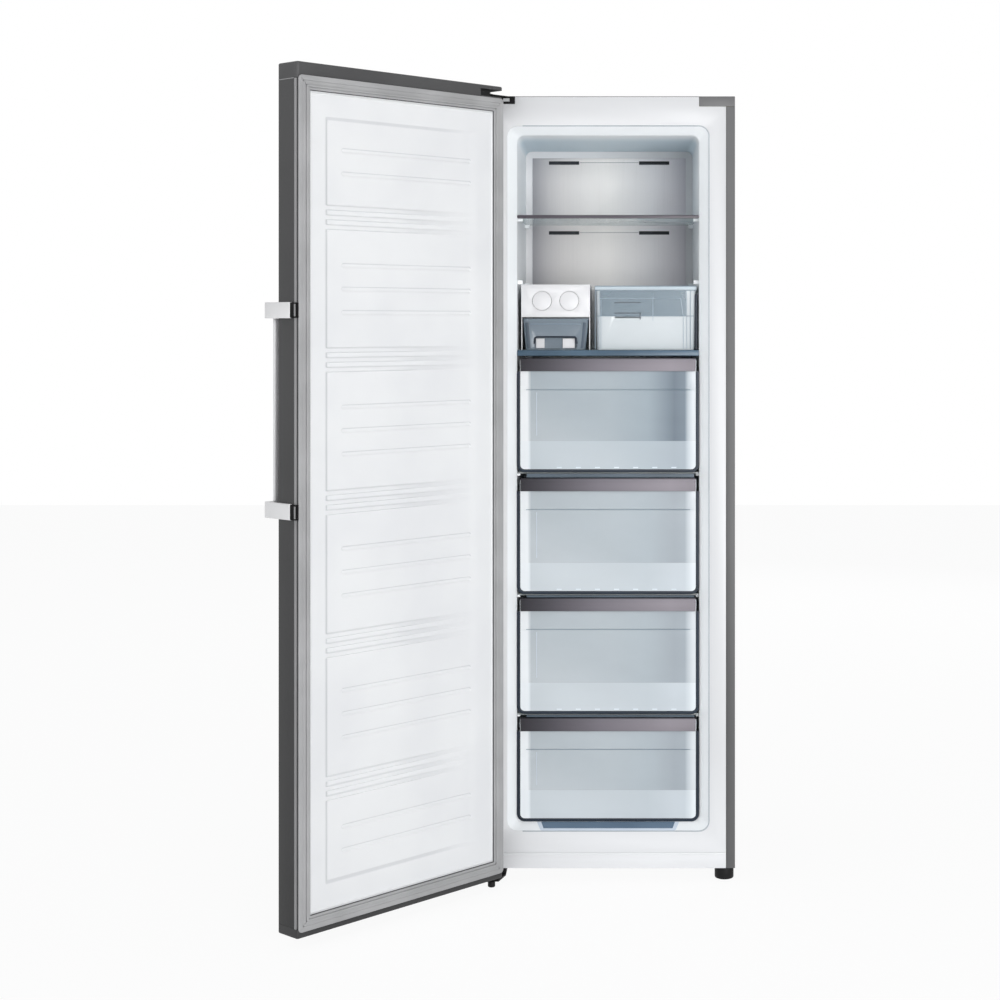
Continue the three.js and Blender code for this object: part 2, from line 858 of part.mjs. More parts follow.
function addLowerHinge() {
  const left = hingeX - tipRadius;
  const right = left + lowerPlateWidth;
  const base = lowerPlateBottom;
  const tip = rodZ(hingeX, hingeY, tipRadius, base, lowerPlateTop, 32);
  const outline = [
    [left, hingeY],
    [hingeX + tipRadius, hingeY - 10],
    [hingeX + 2 * tipRadius, hingeY - 10],
    [right, 0],
    [right, lowerPlateBack],
    [left, lowerPlateBack],
  ];
  const plate = plateXY(outline, base, lowerPlateTop);
  const riserLow = lowerPlateTop - rooted;
  const riser = block(left, right, riserFront, lowerPlateBack, riserLow, basePlate - gap);
  const pinHole = rodZ(hingeX, hingeY, pinRadius + gap, 0, cabinetBottom);
  const studHole = rodZ(hingeFootX, hingeFootY, hingeStud + gap, 0, cabinetBottom);
  const bracket = cut(join(tip, plate, riser), pinHole, studHole);
  add(cabinet, "hinge_bracket_lower", bracket, blackMetal);

  const pinTop = doorBottom + bottomCapHeight + pinReach;
  const collar = cut(
    rodZ(hingeX, hingeY, collarRadius, lowerPlateTop + gap, doorBottom - gap),
    rodZ(hingeFootX, hingeFootY, hingeStud + 1, 0, cabinetBottom),
  );
  const pin = join(rodZ(hingeX, hingeY, pinRadius, base, pinTop), collar);
  add(cabinet, "hinge_pin_lower", pin, zincSteel);
}

function addHingeFoot() {
  const foot = new THREE.Group();
  const edge = 1.5;
  const profile = [
    [0, 0],
    [hingeFootRadius - edge, 0],
    [hingeFootRadius, edge],
    [hingeFootRadius, lowerPlateBottom - gap],
    [hingeStud, lowerPlateBottom - gap],
    [hingeStud, lowerPlateTop + 1],
    [0, lowerPlateTop + 1],
  ];
  add(foot, "foot_hinge_side", turnedZ(profile, 0, 0), blackPlastic);
  foot.position.set(hingeFootX, hingeFootY, 0);
  cabinet.add(foot);
}

const upperArmThickness = 4;
const upperPlateThickness = 3;
const upperPlateHeight = 18;
const upperPlateReach = 61;
const upperArmReach = 46;
const pinHeadRadius = 7;
const pinHeadHeight = 4;

function addUpperHinge() {
  const top = cabinetTop;
  const armLow = top - upperArmThickness;
  const back = -gap;
  const front = back - upperPlateThickness;
  const left = hingeX - tipRadius;
  const right = hingeX + upperPlateReach;
  const plate = block(1 - halfWidth, right, front, back, top - upperPlateHeight, top);
  const outline = [
    [left, hingeY],
    [hingeX + tipRadius, hingeY],
    [hingeX + upperArmReach, front + rooted],
    [left, front + rooted],
  ];
  const arm = plateXY(outline, armLow, top);
  const tip = rodZ(hingeX, hingeY, tipRadius, armLow, top, 32);
  const pinHole = rodZ(hingeX, hingeY, pinRadius + gap, armLow - over, top + over);
  add(cabinet, "hinge_bracket_upper", cut(join(plate, arm, tip), pinHole), blackMetal);
  const pin = join(
    rodZ(hingeX, hingeY, pinRadius, doorTop - topCapHeight - pinReach, top + 1),
    rodZ(hingeX, hingeY, pinHeadRadius, top + gap, top + pinHeadHeight),
  );
  add(cabinet, "hinge_pin_upper", pin, zincSteel);
}

// shelves

const glassHalf = cavityHalf - 2 * gap;
const glassBack = coverFace - 1;

function addShelf(parent, name, top, trimHeight, trimMaterial) {
  const glassY = glassFront + (trimHeight ? gap : 0);
  const pane = block(-glassHalf, glassHalf, glassY, glassBack, top - glassThickness, top);
  add(parent, name + "_glass", pane, glass);
  if (!trimHeight) return;
  const front = glassFront - shelfTrimDepth;
  const low = top - trimHeight;
  const rail = loft(
    ringInXZ(front, -glassHalf, glassHalf, low + 1, top - 1, 2),
    ringInXZ(front + 2, -glassHalf, glassHalf, low, top, 2),
    ringInXZ(glassFront, -glassHalf, glassHalf, low, top, 2),
  );
  add(parent, name + "_trim", rail, trimMaterial);
}

// drawers

const tubRadius = 14;
const tubTaper = 18;
const rimInset = 6;
const rimFlange = 3;
const lipThickness = 3;
const lipDepth = 12;
const trimBevel = 1.5;

function addDrawer(index) {
  const group = new THREE.Group();
  const name = "drawer_" + (index + 1);
  const top = drawerTops[index];
  const low = drawerBottoms[index];
  const half = cavityHalf - drawerSideGap;
  const lowest = index === drawerCount - 1;
  const back = (lowest ? stepFront - gap : coverFace) - drawerBackGap;
  const rim = top - trimHeight / 2;

  const ring = (z, side, inset) =>
    ringInXY(
      z,
      -half + side + inset,
      half - side - inset,
      drawerFront + inset,
      back - inset,
      tubRadius - inset,
    );
  const outer = loft(ring(low, tubTaper, 0), ring(rim, rimInset, 0));
  const inner = loft(
    ring(low + drawerWall, tubTaper, drawerWall),
    ring(rim + over, rimInset, drawerWall),
  );
  const flange = cut(
    loft(ring(rim - rimFlange, rooted, 0), ring(rim, rooted, 0)),
    loft(ring(rim - rimFlange - over, rimInset, drawerWall), ring(rim + over, rimInset, drawerWall)),
  );
  const panelTop = top - lipThickness - gap;
  const panel = loft(
    ringInXZ(drawerFront, -half, half, low, panelTop, tubRadius),
    ringInXZ(drawerFront + drawerWall, -half, half, low, panelTop, tubRadius),
  );
  add(group, name + "_tub", join(cut(outer, inner), flange, panel), clearBlue);

  const behind = drawerFront - gap;
  const face = behind - trimDepth;
  const profile = [
    [face, top - trimHeight],
    [behind, top - trimHeight],
    [behind, top - lipThickness],
    [drawerFront + lipDepth, top - lipThickness],
    [drawerFront + lipDepth, top],
    [face + trimBevel, top],
    [face, top - trimBevel],
  ];
  add(group, name + "_trim", profileX(profile, -half, half), brushedSteel);
  cabinet.add(group);
}

const iceLeft = -cavityHalf + iceSideGap;
const iceRight = iceLeft + iceUnitWidth;

const smallDrawerGap = 11;
const smallTaper = 5;
const smallRim = 9;
const smallRadius = 9;
const gripOffset = 79;
const gripHalf = 31;
const gripDrops = [
  [36, 7],
  [64, 12],
];

function addSmallDrawer() {
  const x0 = iceRight + smallDrawerGap;
  const x1 = cavityHalf - drawerSideGap;
  const low = midShelfTop + gap;
  const top = midShelfTop + smallDrawerRise;
  const rim = top - smallRim;
  const back = coverFace - smallDrawerBackGap;
  const ring = (z, side, inset) =>
    ringInXY(
      z,
      x0 + side + inset,
      x1 - side - inset,
      upperFront + inset,
      back - inset,
      smallRadius - inset / 2,
    );
  const rimProud = 1;
  const outer = join(
    loft(ring(low, smallTaper, rimProud), ring(rim, 2, rimProud)),
    loft(ring(rim - rooted, 0, 0), ring(top, 0, 0)),
  );
  const inner = loft(
    ring(low + drawerWall, smallTaper, rimProud + drawerWall),
    ring(top + over, 2, rimProud + drawerWall),
  );
  const gripX = x0 + gripOffset;
  const [y0, y1] = [upperFront - over, upperFront + 2 * drawerWall];
  const grips = gripDrops.map(([drop, height]) =>
    block(gripX - gripHalf, gripX + gripHalf, y0, y1, top - drop - height, top - drop),
  );
  add(cabinet, "small_drawer", cut(outer, inner, ...grips), clearBlue);
}

// ice unit

const knobX = [-1, 1].map((side) => (iceLeft + iceRight) / 2 + (side * knobPitch) / 2);
const knobZ = iceUnitTop - knobDrop;
const cheek = 1.8;
const iceWall = 2;
const iceBack = upperFront + iceUnitDepth;
const journalRadius = 5;

const cheekSetback = 8;
const knobGap = 0.8;
const knobProud = 1;
const knobThickness = 8;
const knobSides = 40;
const journalSides = 16;

function addIceHousing() {
  const low = iceUnitTop - iceBoxHeight;
  const front = upperFront + iceWall;
  const back = iceBack - iceWall;
  const box = cut(
    block(iceLeft, iceRight, upperFront, iceBack, low, iceUnitTop),
    block(iceLeft + iceWall, iceRight - iceWall, front, back, low - over, iceUnitTop - iceWall),
  );
  const cheeks = [iceLeft, iceRight - cheek].map((x) =>
    block(x, x + cheek, upperFront + cheekSetback, iceBack, midShelfTop + gap, low + rooted),
  );
  const holes = knobX.flatMap((x) => [
    rodY(x, knobZ, knobRadius + knobGap, upperFront - over, front + over, knobSides),
    rodY(x, knobZ, journalRadius + gap, back - over, iceBack + over, journalSides),
  ]);
  add(cabinet, "ice_maker_housing", cut(join(box, ...cheeks), ...holes), whitePlastic);
}

const trayHalf = 25.5;
const trayDrop = 13;
const trayRise = 12;
const trayEndGap = 8;
const trayRows = 6;
const ribTop = -1;
const pocketWall = 2;
const pocketTaper = 3;

// Twelve tapered pockets in two columns, below a trough that all of them open into.
function trayBody(front, back) {
  const length = (back - front - pocketWall * (trayRows + 1)) / trayRows;
  const width = (2 * trayHalf - 3 * pocketWall) / 2;
  const pockets = [];
  for (let row = 0; row < trayRows; row++)
    for (let column = 0; column < 2; column++) {
      const y = front + pocketWall + row * (length + pocketWall);
      const x = -trayHalf + pocketWall + column * (width + pocketWall);
      const ring = (z, inset) =>
        ringInXY(z, x + inset, x + width - inset, y + inset, y + length - inset, pocketTaper, 2);
      pockets.push(loft(ring(pocketWall - trayDrop, pocketTaper), ring(ribTop + gap, 0)));
    }
  const inner = trayHalf - pocketWall;
  const trough = [front + pocketWall, back - pocketWall, ribTop, trayRise + over];
  const solid = block(-trayHalf, trayHalf, front, back, -trayDrop, trayRise);
  return cut(solid, block(-inner, inner, ...trough), ...pockets);
}

function addIceTray(side, x) {
  const group = new THREE.Group();
  const front = upperFront + iceWall + trayEndGap;
  const back = iceBack - iceWall - trayEndGap;
  const knobFront = upperFront - knobProud;
  const knobBack = knobFront + knobThickness;
  const tray = join(
    trayBody(front, back),
    rodY(0, 0, journalRadius, knobBack + gap, front + rooted, journalSides),
    rodY(0, 0, journalRadius, back - rooted, iceBack, journalSides),
  );
  add(group, "ice_tray_" + side, tray, clearBlue);
  const knob = rodY(0, 0, knobRadius, knobFront, knobBack, knobSides);
  add(group, "ice_knob_" + side, knob, whitePlastic);
  group.position.set(x, 0, knobZ);
  cabinet.add(group);
}

const binWall = 2;
const binRadius = 8;
const binTaper = 8;
const binSetback = 3;
const pullHalf = 50.5;
const pullRise = 30.4;
const pullDepth = 14;
const pullRadius = 7;
const pullSill = 3;

function addIceBin() {
  const low = midShelfTop + gap;
  const front = upperFront + binSetback;
  const back = coverFace - iceBinBackGap;
  const top = midShelfTop + iceBinRise;
  const x0 = iceLeft + cheek + gap;
  const x1 = iceRight - cheek - gap;
  const ring = (z, side, inset) =>
    ringInXY(z, x0 + side + inset, x1 - side - inset, front + inset, back - inset, binRadius - inset);
  const outer = loft(ring(low, binTaper, 0), ring(top, 1, 0));
  const inner = loft(ring(low + binWall, binTaper, binWall), ring(top + over, 1, binWall));
  const middle = (x0 + x1) / 2;
  const pullRing = (y, grow) =>
    ringInXZ(
      y,
      middle - pullHalf - grow,
      middle + pullHalf + grow,
      low + pullSill - grow,
      low + pullRise + grow,
      pullRadius + grow,
    );
  const pullEnd = front + pullDepth;
  const pullWall = loft(pullRing(front + rooted, binWall), pullRing(pullEnd + binWall, binWall));
  const pull = loft(pullRing(front - over, 0), pullRing(pullEnd, 0));
  add(cabinet, "ice_bin", cut(join(cut(outer, inner), pullWall), pull), clearBlue);
}

// door, closed, about its hinge line

const capBottom = doorTop - topCapHeight;
const skinBottom = doorBottom + bottomCapHeight + gap;
const skinTop = capBottom - gap;
const bossRadius = 12;
const bossDepth = 20;
const pinRoom = 1;

const door = new THREE.Group();
const doorFrame = new THREE.Group();
doorFrame.position.set(-hingeX, -hingeY, 0);
door.add(doorFrame);
door.position.set(hingeX, hingeY, 0);
door.rotation.z = -THREE.MathUtils.degToRad(openAngle);

// The door's plan at height z, drawn in by an inset.
const doorPlan = (z, inset) => {
  const half = doorHalf - inset;
  return ringInXY(z, -half, half, doorOuter + inset, doorInner - inset, doorRadius - inset);
};

// Outline on the door's inner face at depth y; the gasket reaches the skin's ends, not its sides.
const doorFace = (y, inset, radius) => {
  const half = doorHalf - inset;
  const end = inset - gasketInset;
  return ringInXZ(y, -half, half, skinBottom + end, skinTop - end, radius);
};

function addDoorShell() {
  const outer = loft(doorPlan(skinBottom, 0), doorPlan(skinTop, 0));
  const inner = loft(doorPlan(skinBottom - over, sheet), doorPlan(skinTop + over, sheet));
  const opening = doorHalf - lipWidth;
  const inside = [skinBottom - over, skinTop + over];
  const lipBack = doorInner - 3 * sheet;
  const back = block(-opening, opening, lipBack, doorInner + over, ...inside);
  add(doorFrame, "door_skin", cut(outer, inner, back), darkPaint);

  const pack = loft(doorPlan(skinBottom, sheet + gap), doorPlan(skinTop, sheet + gap));
  const linerBack = doorInner - linerWall - gap;
  const linerSpace = block(-doorHalf, doorHalf, linerBack, doorInner + over, ...inside);
  const bossRoom = bossDepth + gap;
  const bosses = [
    rodZ(hingeX, hingeY, bossRadius + gap, skinBottom - over, skinBottom + bossRoom),
    rodZ(hingeX, hingeY, bossRadius + gap, capBottom - bossRoom, skinTop + over),
  ];
  add(doorFrame, "door_foam", cut(pack, linerSpace, ...bosses), foam);
}

const dikeInset = 38;
const dikeHeight = 4;
const dikeRadius = 16;

function addDoorLiner() {
  const half = doorHalf - lipWidth - gap;
  const plate = block(-half, half, doorInner - linerWall, doorInner, skinBottom, skinTop);
  const dike = loft(
    doorFace(doorInner - rooted, dikeInset - rooted, dikeRadius),
    doorFace(doorInner, dikeInset, dikeRadius),
    doorFace(doorInner + dikeHeight, dikeInset + dikeHeight, dikeRadius - 2),
  );
  add(doorFrame, "door_liner", join(plate, dike), whitePlastic);
}

const gasketRadius = 12;
const gasketLip = 3;

function addGasket() {
  const innerInset = gasketInset + gasketWidth;
  const outer = loft(
    doorFace(doorInner + gap, gasketInset, gasketRadius),
    doorFace(-gasketLip, gasketInset + rooted, gasketRadius),
    doorFace(-gap, hingeInset + gap, gasketRadius - 4),
  );
  const inner = loft(
    doorFace(doorInner, innerInset, gasketRadius),
    doorFace(over, innerInset - rooted, gasketRadius),
  );
  add(doorFrame, "door_gasket", cut(outer, inner), gasketRubber);
}

const capWall = 4;
const capEdge = 2;
const pocketStart = 80;
const hingeSlotBottom = cabinetTop - 9;
const hingeSlotTop = cabinetTop + 7;
const hingeSlotLength = 70;

// Both caps are hollow away from the hinge and have a boss that takes its pin.
function addDoorCaps() {
  const pocketLeft = hingeX + pocketStart;
  const pocketRight = doorHalf - capWall;
  const pocketDepth = [doorOuter + capWall, doorInner - capWall];
  const pocket = (z0, z1) => block(pocketLeft, pocketRight, ...pocketDepth, z0, z1);

  const slotEnd = hingeSlotLength - doorHalf;
  const slotDepth = [doorOuter - over, doorInner + over];
  const slot = block(-doorHalf - over, slotEnd, ...slotDepth, hingeSlotBottom, hingeSlotTop);
  const topBlock = join(
    loft(doorPlan(capBottom, 0), doorPlan(doorTop - capEdge, 0), doorPlan(doorTop, capEdge)),
    rodZ(hingeX, hingeY, bossRadius, capBottom - bossDepth, capBottom + over),
  );
  const hole = pinRadius + gap;
  const topHoleEnd = capBottom - pinReach - pinRoom;
  const topHole = rodZ(hingeX, hingeY, hole, topHoleEnd, hingeSlotBottom + over);
  const topPocket = pocket(capBottom - over, doorTop - capWall);
  add(doorFrame, "door_cap_top", cut(topBlock, slot, topHole, topPocket), darkPlastic);

  const high = doorBottom + bottomCapHeight;
  const bottomBlock = join(
    loft(doorPlan(doorBottom, capEdge), doorPlan(doorBottom + capEdge, 0), doorPlan(high, 0)),
    rodZ(hingeX, hingeY, bossRadius, high - over, high + bossDepth),
  );
  const bottomHole = rodZ(hingeX, hingeY, hole, doorBottom - over, high + pinReach + pinRoom);
  const bottomPocket = pocket(doorBottom + capWall, high + over);
  add(doorFrame, "door_cap_bottom", cut(bottomBlock, bottomHole, bottomPocket), darkPlastic);
}

const sidePlate = 6.5;
const bracketArm = 14;
const bracketEdge = 3;
const barWidth = 19;
const barDepth = 8;
const barInset = 11.6;
const barRadius = 3;
const padThickness = 6;
const padWrap = 3;
const padReach = 7.5;

function addHandle() {
  const side = doorHalf + gap;
  const outerSide = side + sidePlate;
  const front = doorOuter - handleReach;
  const barRight = outerSide - barInset - bracketEdge * 3;
  const armLeft = barRight - barWidth - bracketEdge;
  const wrapEnd = doorOuter + handleWrap;
  const bracketOutline = [
    [armLeft, front],
    [outerSide - bracketEdge, front],
    [outerSide, front + bracketEdge],
    [outerSide, wrapEnd],
    [side, wrapEnd],
    [side, front + bracketArm],
    [armLeft, front + bracketArm],
  ];
  const padOutline = [
    [side, wrapEnd + gap],
    [side + padThickness, wrapEnd + gap],
    [side + padThickness, doorInner + padWrap],
    [side - padReach, doorInner + padWrap],
    [side - padReach, doorInner + gap],
    [side, doorInner + gap],
  ];
  const levels = { lower: handleBottom, upper: handleTop - bracketHeight };
  for (const [name, low] of Object.entries(levels)) {
    const high = low + bracketHeight;
    add(doorFrame, "handle_bracket_" + name, plateXY(bracketOutline, low, high), satinSilver);
    add(doorFrame, "handle_pad_" + name, plateXY(padOutline, low + 1, high - 1), blackPlastic);
  }
  const barFront = front + bracketEdge;
  const barBack = barFront + barDepth;
  const barRing = (z) => ringInXY(z, barRight - barWidth, barRight, barFront, barBack, barRadius);
  const bar = loft(
    barRing(handleBottom + bracketHeight + gap),
    barRing(handleTop - bracketHeight - gap),
  );
  add(doorFrame, "handle_bar", bar, satinSilver);
}

addWrapper();
addCornerCap();
addRearPanel();
addBasePanel();
addFrontRail();
addLiner();
addFoam();
addEvaporatorCover();
addEvaporatorDuct();
addEvaporatorCoil();
addDrainPan();
addFan();
addCompressorRail();
addRoller("roller_left", -1);
addRoller("roller_right", 1);
addCompressor();
addDripTray();
addFilterDrier();
addRearCover();
addFoot();
addLowerHinge();
addHingeFoot();
addUpperHinge();

const shelf = new THREE.Group();
cabinet.add(shelf);
addShelf(shelf, "top_shelf", topShelfTop, topTrimHeight, glass);
addShelf(cabinet, "mid_shelf", midShelfTop, midTrimHeight, navyTrim);
drawerGlassTops.forEach((top, i) => addShelf(cabinet, "drawer_shelf_" + (i + 1), top, 0, glass));
drawerTops.forEach((_, i) => addDrawer(i));
addSmallDrawer();
addIceHousing();
addIceTray("left", knobX[0]);
addIceTray("right", knobX[1]);
addIceBin();

addDoorShell();
addDoorLiner();
addGasket();
addDoorCaps();
addHandle();

// The origin lies on the floor, under the middle of the whole object with its door open.
const freezer = new THREE.Group();
freezer.add(cabinet, door);
const extent = new THREE.Box3().setFromObject(freezer, true);
const middle = extent.getCenter(new THREE.Vector3());
freezer.position.set(-middle.x, -middle.y, -extent.min.z);
freezer.updateMatrixWorld(true);

export default freezer;
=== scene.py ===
# Upright freezer with its door open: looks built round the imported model.
import bpy
import bmesh
import json
import math
import numpy as np
from mathutils import Matrix, Vector


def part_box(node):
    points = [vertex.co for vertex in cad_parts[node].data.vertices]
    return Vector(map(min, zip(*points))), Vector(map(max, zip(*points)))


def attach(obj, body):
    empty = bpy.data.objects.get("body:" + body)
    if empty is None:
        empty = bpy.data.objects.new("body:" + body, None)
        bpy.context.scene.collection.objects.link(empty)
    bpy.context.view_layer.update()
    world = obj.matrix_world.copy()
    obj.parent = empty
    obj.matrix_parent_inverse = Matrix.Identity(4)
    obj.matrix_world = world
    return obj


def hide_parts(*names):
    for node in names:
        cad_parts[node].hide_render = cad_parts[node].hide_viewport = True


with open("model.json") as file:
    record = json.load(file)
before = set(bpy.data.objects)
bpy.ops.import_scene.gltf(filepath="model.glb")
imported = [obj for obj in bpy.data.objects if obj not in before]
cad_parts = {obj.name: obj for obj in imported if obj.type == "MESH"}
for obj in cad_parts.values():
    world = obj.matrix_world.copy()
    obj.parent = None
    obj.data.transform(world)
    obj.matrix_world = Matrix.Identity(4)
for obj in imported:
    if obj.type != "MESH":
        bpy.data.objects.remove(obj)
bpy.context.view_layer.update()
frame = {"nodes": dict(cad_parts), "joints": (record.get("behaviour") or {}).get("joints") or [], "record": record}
print("frame loaded")

# Sizes below are millimetres: x from the cabinet's middle, y back from its front, z up from the floor.
mm = 0.001
wrapLow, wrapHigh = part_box("outer_wrapper")
home = Vector(((wrapLow.x + wrapHigh.x) / 2, wrapLow.y, 0))
cabinetPlace = Matrix.Translation(home) @ Matrix.Diagonal((mm, mm, mm, 1))
hinge = next(joint for joint in frame["joints"] if joint["name"] == "door_hinge")
hingeLine = Vector((hinge["pos_m"][0], hinge["pos_m"][1], 0))
swing = Matrix.Rotation(math.radians(hinge["range_deg"][0]), 4, "Z")
doorTurn = Matrix.Translation(hingeLine) @ swing @ Matrix.Translation(-hingeLine)
doorPlace = doorTurn @ cabinetPlace  # pieces of the door are sized closed and placed open


def boxOf(node):
    low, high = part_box(node)
    return (low - home) / mm, (high - home) / mm


# Node trees

class Wire:
    # one output of a node; sums on it add Math nodes
    def __init__(self, board, node, output=0):
        self.board, self.node, self.socket = board, node, node.outputs[output]

    def out(self, name):
        return Wire(self.board, self.node, name)

    def __abs__(self):
        return self.board.sum("ABSOLUTE", self)


def onWire(operation, turned):
    # an operator on wires, as it stands or from the other side
    def act(self, other):
        return self.board.sum(operation, *((other, self) if turned else (self, other)))
    return act


for name, operation in (("add", "ADD"), ("sub", "SUBTRACT"), ("mul", "MULTIPLY"), ("truediv", "DIVIDE")):
    setattr(Wire, "__%s__" % name, onWire(operation, False))
    setattr(Wire, "__r%s__" % name, onWire(operation, True))


class Board:
    # a node tree, and the one way that nodes are put into it
    def __init__(self, tree):
        self.tree = tree

    def add(self, kind, settings={}, inputs={}, output=0):
        node = self.tree.nodes.new(kind)
        for name, value in settings.items():
            setattr(node, name, value)
        for name, value in inputs.items():
            self.feed(node.inputs[name], value)
        return Wire(self, node, output) if node.outputs else node

    def feed(self, socket, value):
        if isinstance(value, Wire):
            self.tree.links.new(value.socket, socket)
        elif isinstance(value, list):
            for wire in value:
                self.tree.links.new(wire.socket, socket)
        else:
            socket.default_value = value

    def sum(self, operation, *values):
        return self.add("ShaderNodeMath", {"operation": operation}, dict(enumerate(values)))

    def vector(self, operation, *values):
        return self.add("ShaderNodeVectorMath", {"operation": operation}, dict(enumerate(values)))

    def split(self, vector):
        parts = self.add("ShaderNodeSeparateXYZ", inputs={0: vector})
        return parts, parts.out(1), parts.out(2)

    def join(self, x=0.0, y=0.0, z=0.0):
        return self.add("ShaderNodeCombineXYZ", inputs={0: x, 1: y, 2: z})

    def ease(self, value, start, end, low=0.0, high=1.0):
        spread = {"Value": value, "From Min": start, "From Max": end, "To Min": low, "To Max": high}
        return self.add("ShaderNodeMapRange", {"interpolation_type": "SMOOTHSTEP"}, spread)

    def mix(self, factor, first, second):
        return self.add("ShaderNodeMix", {"data_type": "RGBA"}, {0: factor, 6: first, 7: second}, 2)

    def noise(self, point, scale, stretch=(1, 1, 1), detail=2.0):
        spread = self.vector("MULTIPLY", point, stretch)
        return self.add("ShaderNodeTexNoise", {}, {"Vector": spread, "Scale": scale, "Detail": detail})

    def ramp(self, value, stops):
        wire = self.add("ShaderNodeValToRGB", inputs={"Fac": value})
        elements = wire.node.color_ramp.elements
        while len(elements) < len(stops):
            elements.new(0.5)
        for element, (position, colour) in zip(elements, stops):
            element.position = position
            element.color = colour
        return wire

    def stored(self, name):
        return self.add("ShaderNodeAttribute", {"attribute_name": name}, output="Fac")

    def facing(self, blend=0.35):
        return self.add("ShaderNodeLayerWeight", inputs={"Blend": blend}, output="Facing")

    def least(self, first, second):
        return self.sum("MINIMUM", first, second)

    def most(self, first, second):
        return self.sum("MAXIMUM", first, second)


def srgb(red, green, blue):
    # a colour as a paint chart gives it, 0 to 255, as the light it stands for
    shares = [tone / 255 for tone in (red, green, blue)]
    return (*(v / 12.92 if v <= 0.0404 else ((v + 0.055) / 1.055) ** 2.4 for v in shares), 1)


def makeFinish(name, look):
    material = bpy.data.materials.new(name)
    material.use_nodes = True
    material.node_tree.nodes.clear()
    board = Board(material.node_tree)
    point = board.add("ShaderNodeTexCoord", output="Object")
    board.add("ShaderNodeOutputMaterial", inputs={"Surface": look(board, point)})
    return material


def coated(board, colour, **sockets):
    inputs = {"Base Color": colour}
    inputs.update({name.replace("_", " "): value for name, value in sockets.items()})
    return board.add("ShaderNodeBsdfPrincipled", inputs=inputs)


def bumpFrom(board, height, strength, distance):
    return board.add("ShaderNodeBump", inputs={"Height": height, "Strength": strength, "Distance": distance})


# Surfaces made of two noises: a fine one for the grain and a slow one for unevenness of tone. Some also take
# painted shade on their slopes or towards the floor.
surface = {
    "fineScale": 900, "fineDetail": 1.0, "slowScale": 5.0, "slowDetail": 2.0,
    "fineTone": 0.0, "toneStart": 0.3, "toneEnd": 0.7, "fineRough": 0.08, "slowRough": 0.0,
    "slowBump": 1.5, "bump": 0.1, "bumpDepth": 0.0003, "metallic": 0.0, "shine": 0.5,
    "slopeShade": 0.0, "slopeTone": (150, 153, 158), "floorShade": 0.0, "floorLow": 0.05, "floorHigh": 1.8,
}
kinds = {
    # painted sheet has orange peel, moulded plastic the slow waviness of its mould
    "paint": {"fineScale": 620, "slowScale": 3.2, "slowDetail": 3.0, "fineRough": 0.1, "slowRough": 0.05,
              "slowBump": 0.0, "bump": 0.12},
    "moulded": {},
    "rubber": {"fineScale": 1400, "fineDetail": 2.0, "slowScale": 9.0, "fineRough": 0.15, "slowBump": 0.0,
               "bump": 0.15, "bumpDepth": 0.0002},
    "metal": {"fineDetail": 3.0, "slowScale": 6.0, "slowDetail": 3.0, "fineTone": 0.3, "toneStart": 0.4,
              "toneEnd": 0.9, "fineRough": 0.15, "slowBump": 0.0, "bumpDepth": 0.0002},
}


def surfaceLook(kind, dark, light, rough, **changes):
    own = {**surface, **kinds[kind], **changes}

    def look(board, point):
        fine = board.noise(point, own["fineScale"], detail=own["fineDetail"])
        slow = board.noise(point, own["slowScale"], detail=own["slowDetail"])
        share = board.ease(slow + own["fineTone"] * fine, own["toneStart"], own["toneEnd"])
        tone = board.mix(share, srgb(*dark), srgb(*light))
        # painted shade on slopes that turn away from the light
        if own["slopeShade"]:  # deeper in tone where a moulded slope turns away
            slope = board.stored("slope")
            tone = board.mix(slope * own["slopeShade"], tone, srgb(*own["slopeTone"]))
        # painted shade, darker towards the floor
        if own["floorShade"]:  # and towards the floor
            height = board.split(point)[2]
            shade = board.ease(height, own["floorLow"], own["floorHigh"], own["floorShade"], 0)
            tone = board.mix(shade, tone, (0, 0, 0, 1))
        relief = bumpFrom(board, fine + own["slowBump"] * slow, own["bump"], own["bumpDepth"])
        return coated(board, tone, Metallic=own["metallic"], Specular_IOR_Level=own["shine"],
                      Roughness=rough + own["fineRough"] * fine + own["slowRough"] * slow, Normal=relief)
    return look


def paintLook(dark, light, rough, metallic, floorShade, shine=0.5):
    return surfaceLook("paint", dark, light, rough, metallic=metallic, floorShade=floorShade, shine=shine)


def mouldedLook(dark, light, rough, grain=0.1, grainScale=900, shine=0.5):
    return surfaceLook("moulded", dark, light, rough, bump=grain, fineScale=grainScale, shine=shine)


def metalLook(dark, light, rough, grainScale, metallic=0.85):
    return surfaceLook("metal", dark, light, rough, fineScale=grainScale, metallic=metallic)


# Liner plastic: white at the mouth. Inside, painted light makes it lighter and cooler towards the back, with
# painted shade along the wall away from the hinge and under the roof; painted light also lifts the flare and the
# foot of the mouth.
linerTone = {
    "mouth": (216, 217, 219),
    # tone, and where it starts and ends: y for the flare and deep inside, x for the far wall, z for the roof and
    # the foot. All but the mouth are painted light or painted shade.
    "flare": ((250, 253, 255), 0.2, 2.0), "deep": ((250, 253, 255), 25, 200),
    "far": ((246, 251, 254), 150, 213), "roof": ((208, 224, 234), 1728, 1746),
    "foot": ((227, 228, 230), 90, 330),
}


def linerLook(board, point):
    x, y, z = board.split(point)

    def share(value, name, low=0.0, high=1.0):
        start, end = linerTone[name][1:]
        return board.ease(value, start * mm, end * mm, low, high)

    def toned(base, name, value, low=0.0, high=1.0):
        return board.mix(share(value, name, low, high), base, srgb(*linerTone[name][0]))

    slow = board.noise(point, 4.0, detail=2.0)
    fine = board.noise(point, 1000, detail=1.0)
    # painted light deep inside, with painted shade on the far wall and under the roof
    deep = toned(srgb(*linerTone["deep"][0]), "far", x - home.x)
    deep = toned(deep, "roof", z)
    # painted light low on the mouth and on the flare
    front = toned(srgb(*linerTone["mouth"]), "foot", z, 1, 0)
    front = toned(front, "flare", y - home.y)
    blend = board.mix(share(y - home.y, "deep") * (0.9 + 0.2 * slow), front, deep)
    return coated(board, blend, Roughness=0.3 + 0.08 * fine, Normal=bumpFrom(board, fine + slow, 0.08, 0.0003))
